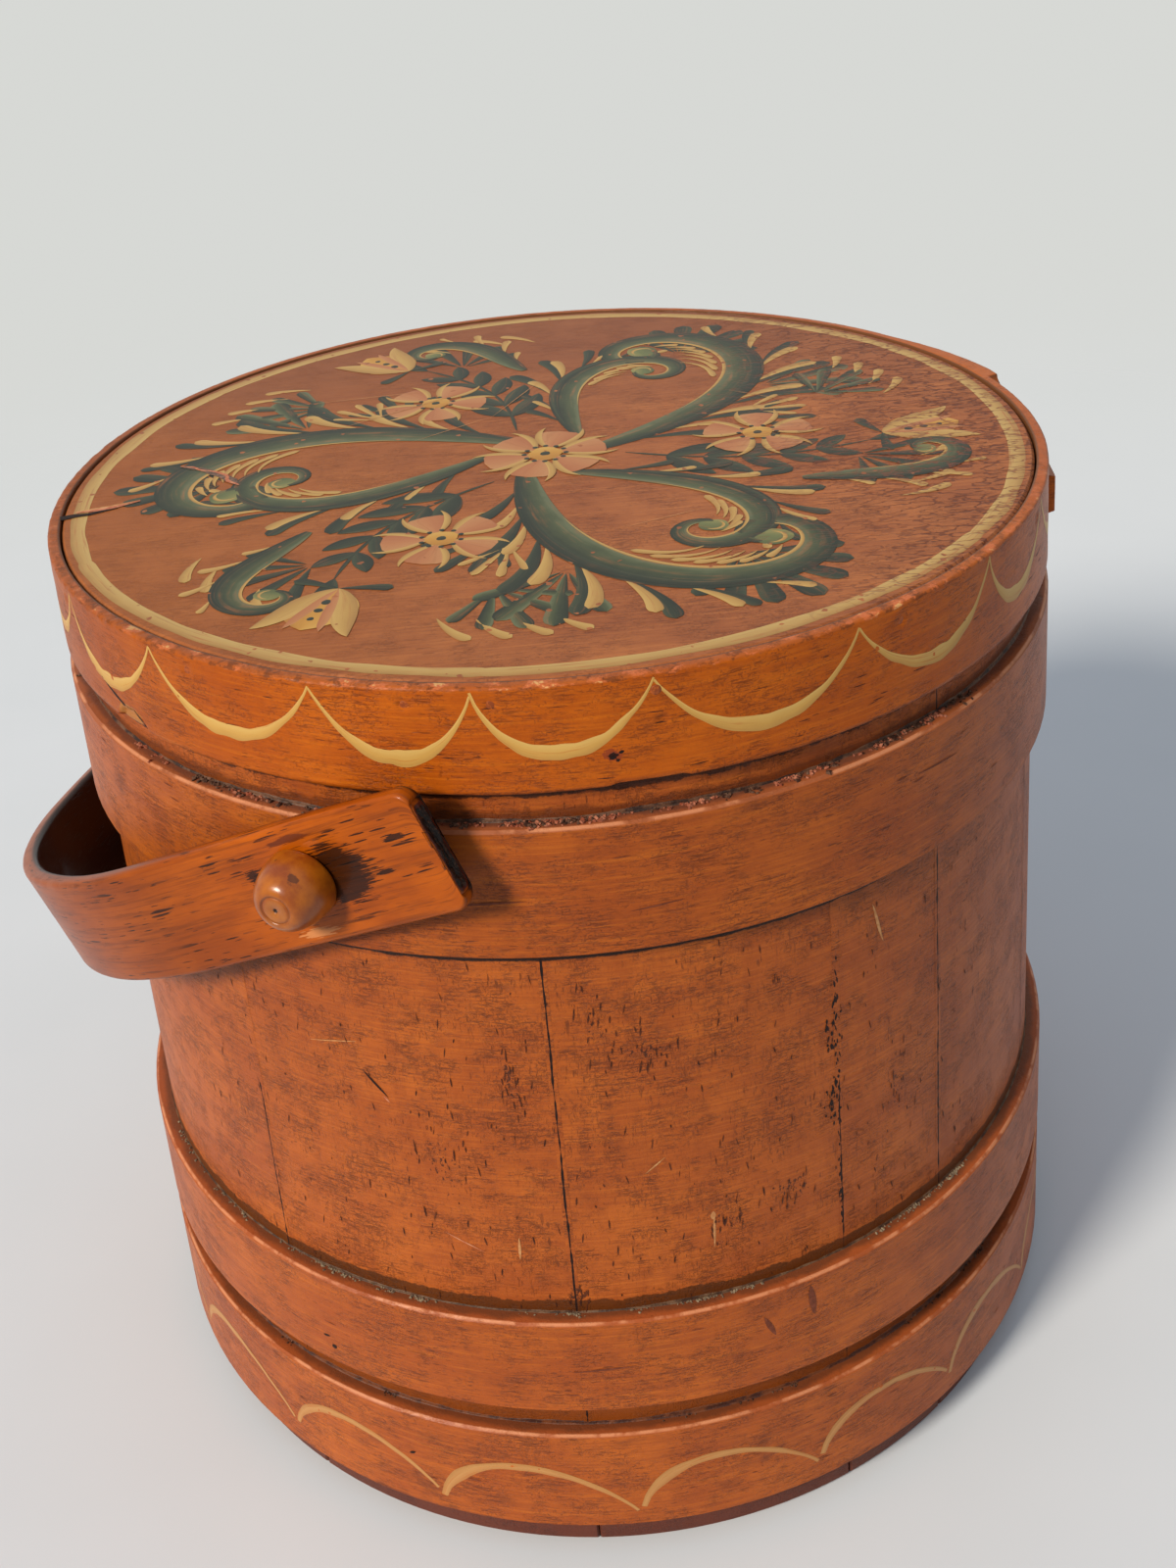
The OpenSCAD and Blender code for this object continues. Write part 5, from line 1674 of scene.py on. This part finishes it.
# Where the main light stands, in degrees left of the camera and above the floor
LIGHT_LEFT = 47
LIGHT_HIGH = 34


def make_light():
    """One soft warm lamp far off to the left, and a sky that is brightest overhead and a pale wall to the
    camera."""
    data = bpy.data.lights.new("key", "SUN")
    data.energy = 3.2
    data.angle = math.radians(14)
    data.color = (1.0, 0.93, 0.82)
    lamp = bpy.data.objects.new("key", data)
    bpy.context.scene.collection.objects.link(lamp)
    a, high = math.radians(VIEW_TURN - LIGHT_LEFT), math.radians(LIGHT_HIGH)
    towards = Vector((math.sin(a) * math.cos(high), -math.cos(a) * math.cos(high), math.sin(high)))
    lamp.rotation_mode = "QUATERNION"
    lamp.rotation_quaternion = (-towards).to_track_quat("-Z", "Y")
    lamp.location = towards * 3
    world = bpy.data.worlds.new("studio")
    bpy.context.scene.world = world
    world.use_nodes = True
    tree = world.node_tree
    tree.nodes.clear()
    path = add(tree, "ShaderNodeLightPath")
    seen = maths(tree, "ADD", path.outputs["Is Camera Ray"], path.outputs["Is Glossy Ray"], True)
    seen = maths(tree, "ADD", seen, path.outputs["Is Transmission Ray"], True)
    way = add(tree, "ShaderNodeTexCoord").outputs["Generated"]
    high = add(tree, "ShaderNodeSeparateXYZ", {0: way}).outputs[2]
    level = add(tree, "ShaderNodeMapRange", {"Value": high, "To Min": 0.06, "To Max": 0.74}).outputs[0]
    sky = add(tree, "ShaderNodeBackground", {"Color": (0.81, 0.88, 0.98, 1), "Strength": level})
    wall = add(tree, "ShaderNodeBackground", {"Color": (0.68, 0.69, 0.665, 1), "Strength": 1.0})
    both = add(tree, "ShaderNodeMixShader", {0: seen, 1: sky.outputs[0], 2: wall.outputs[0]})
    add(tree, "ShaderNodeOutputWorld", {"Surface": both.outputs[0]})


# All finishes by name

# The paint under the strokes, dark and light
LID_GROUND = ("#90502E", "#AC6438")
BAND_GROUND = ("#A44C12", "#C05E14")

MATERIALS = {
    "staves_0": painted_pine(0),
    "staves_1": painted_pine(1),
    "staves_2": painted_pine(2),
    "hoops": painted_hoop(),
    "lid": lid_paint(),
    "rim": rim_paint(),
    "bare": bare_pine(),
    "strap": strap_varnish(),
    "peg": peg_varnish(),
    "iron": old_iron(),
    "painted_nails": painted_iron(),
    "upper_dirt": ledge_dirt("upper_ledge_dirt", "#2A160E", "#6E4A34"),
    "middle_dirt": ledge_dirt("middle_ledge_dirt", "#3A2214", "#6E5038"),
    "bottom_dirt": ledge_dirt("bottom_ledge_dirt", "#3A1A10", "#6E3A1C"),
    "red_crumbs": loose_crumb("red_crumbs", "#8E4830", "#B8765A"),
    "dark_crumbs": loose_crumb("dark_crumbs", "#3A2016", "#6A4C3A"),
    "grey_crumbs": loose_crumb("grey_crumbs", "#6E5A48", "#988468"),
    "gap": scar("dark_gap", "#160A07", "#26120C"),
    "pink_wood": scar("pink_wood", "#B8684A", "#D08A66"),
    "raw_wood": scar("raw_wood", "#BC7E4C", "#D09A66"),
    "grey_paint": scar("grey_paint", "#5E4A40", "#8A6A58"),
    "rub": scar("dark_rub", "#6A3420", "#7E4028"),
    "speck": scar("dark_speck", "#3A1A0E", "#5E2E18"),
    "green_loaded": brushed_colour("green_loaded", (
        (0.0, "#242A1E"), (0.35, "#343A28"), (0.7, "#4C5236"), (0.9, "#64684A")), LID_GROUND),
    "green_dark": brushed_colour("green_dark", ((0.0, "#22281E"), (0.6, "#2E3426"), (0.95, "#3E4430")),
                                 LID_GROUND, 0.25, 0.2),
    "green_pale": brushed_colour("green_pale", ((0.0, "#545A38"), (0.5, "#6C7044"), (0.95, "#8C8650")),
                                 LID_GROUND, 0.3),
    "cream": brushed_colour("cream", ((0.0, "#A87C44"), (0.4, "#BA904E"), (0.9, "#C69E5A")), LID_GROUND, 0.6),
    "cream_line": brushed_colour("cream_line", ((0.0, "#A67C44"), (0.4, "#BA9254"), (0.9, "#C4A060")),
                                 LID_GROUND, 0.75, 0.6),
    "mustard": brushed_colour("mustard", ((0.0, "#B27A33"), (0.5, "#C48C3C"), (0.95, "#CFA050")), LID_GROUND, 0.35),
    "wash": brushed_colour("wash", ((0.0, "#AE6A42"), (0.5, "#B8774B"), (0.95, "#BE8455")), LID_GROUND, 0.6),
    "ink": brushed_colour("ink", ((0.0, "#1F2A24"), (0.9, "#2A352D")), LID_GROUND, 0.1, 0.1),
    "cream_rim": brushed_colour("cream_rim", ((0.0, "#C0904A"), (0.4, "#CE9E50"), (0.9, "#D8AE62")),
                                BAND_GROUND, 0.55, 0.3, 0.0),
    "ochre_faded": brushed_colour("ochre_faded", ((0.0, "#B47A42"), (0.5, "#C08A50"), (0.95, "#B07A42")),
                                  BAND_GROUND, 0.6, 0.45, 0.0),
}
MATERIALS["fill"] = MATERIALS["staves_0"]

NODE_MATERIALS = {
    "bottom_board": "bare", "bottom_hoop": "hoops", "middle_hoop": "hoops", "upper_hoop": "hoops",
    "lid_board": "lid", "lid_rim": "rim", "handle_peg_near": "peg", "handle_peg_far": "peg",
    "lid_lap_nails": "painted_nails",
}


def finish_nodes():
    """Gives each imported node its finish."""
    for name, node in frame["nodes"].items():
        kind = NODE_MATERIALS.get(name, "iron")
        if name.startswith("stave_"):
            kind = "staves_%d" % (int(name[-2:]) * 2 % 3)
        node.data.materials.clear()
        node.data.materials.append(MATERIALS[kind])


def draw(name, surface, body, slot, kinds, *painters):
    """One piece of brush strokes, drawn by the painters in their order."""
    strokes = Strokes(surface, kinds)
    for painter in painters:
        painter(strokes)
    strokes.build(name, body, slot)


def make_drawings():
    """All that is brushed or scratched on the surfaces."""
    scars = ["gap", "pink_wood", "raw_wood", "grey_paint", "rub", "speck"]
    draw("lid_design", lid_surface, "lid", "lid_paint",
         ["green_loaded", "green_dark", "green_pale", "cream", "cream_line", "mustard", "wash", "ink"],
         border_ring, lid_design)
    draw("lid_scars", lid_surface, "lid", "lid_paint", scars, lid_scars)
    draw("rim_swags", rim_surface, "lid", "rim_paint", ["cream_rim"], rim_swags)
    draw("rim_marks", rim_surface, "lid", "rim_paint", scars, rim_marks)
    draw("hoop_arches", hoop_surface, "bucket", "painted_hoop", ["ochre_faded"], hoop_arches)
    draw("hoop_marks", all_hoops_surface, "bucket", "painted_hoop", scars, hoop_marks)
    draw("stave_marks", stave_surface, "bucket", "painted_pine", scars, joint_lines, stave_marks)
    draw("joint_fill", stave_surface, "bucket", "painted_pine", ["fill"], fill_joints)


make_camera()
make_light()
make_stage()
finish_nodes()
make_rim()
make_drawings()
make_handle(MATERIALS["strap"])
make_peg("turned_peg_near", -1)
make_peg("turned_peg_far", 1)
make_nail_heads(piece_tree("nail heads", nail_head))
make_crumbs(piece_tree("crumbs", crumb))
make_fillet("upper_hoop", "upper_dirt", 1.9, 0.9)
make_fillet("middle_hoop", "middle_dirt", 1.5, 0.9)
make_fillet("bottom_hoop", "bottom_dirt", 2.4, 1.2)

bpy.context.scene.view_settings.view_transform = "Standard"
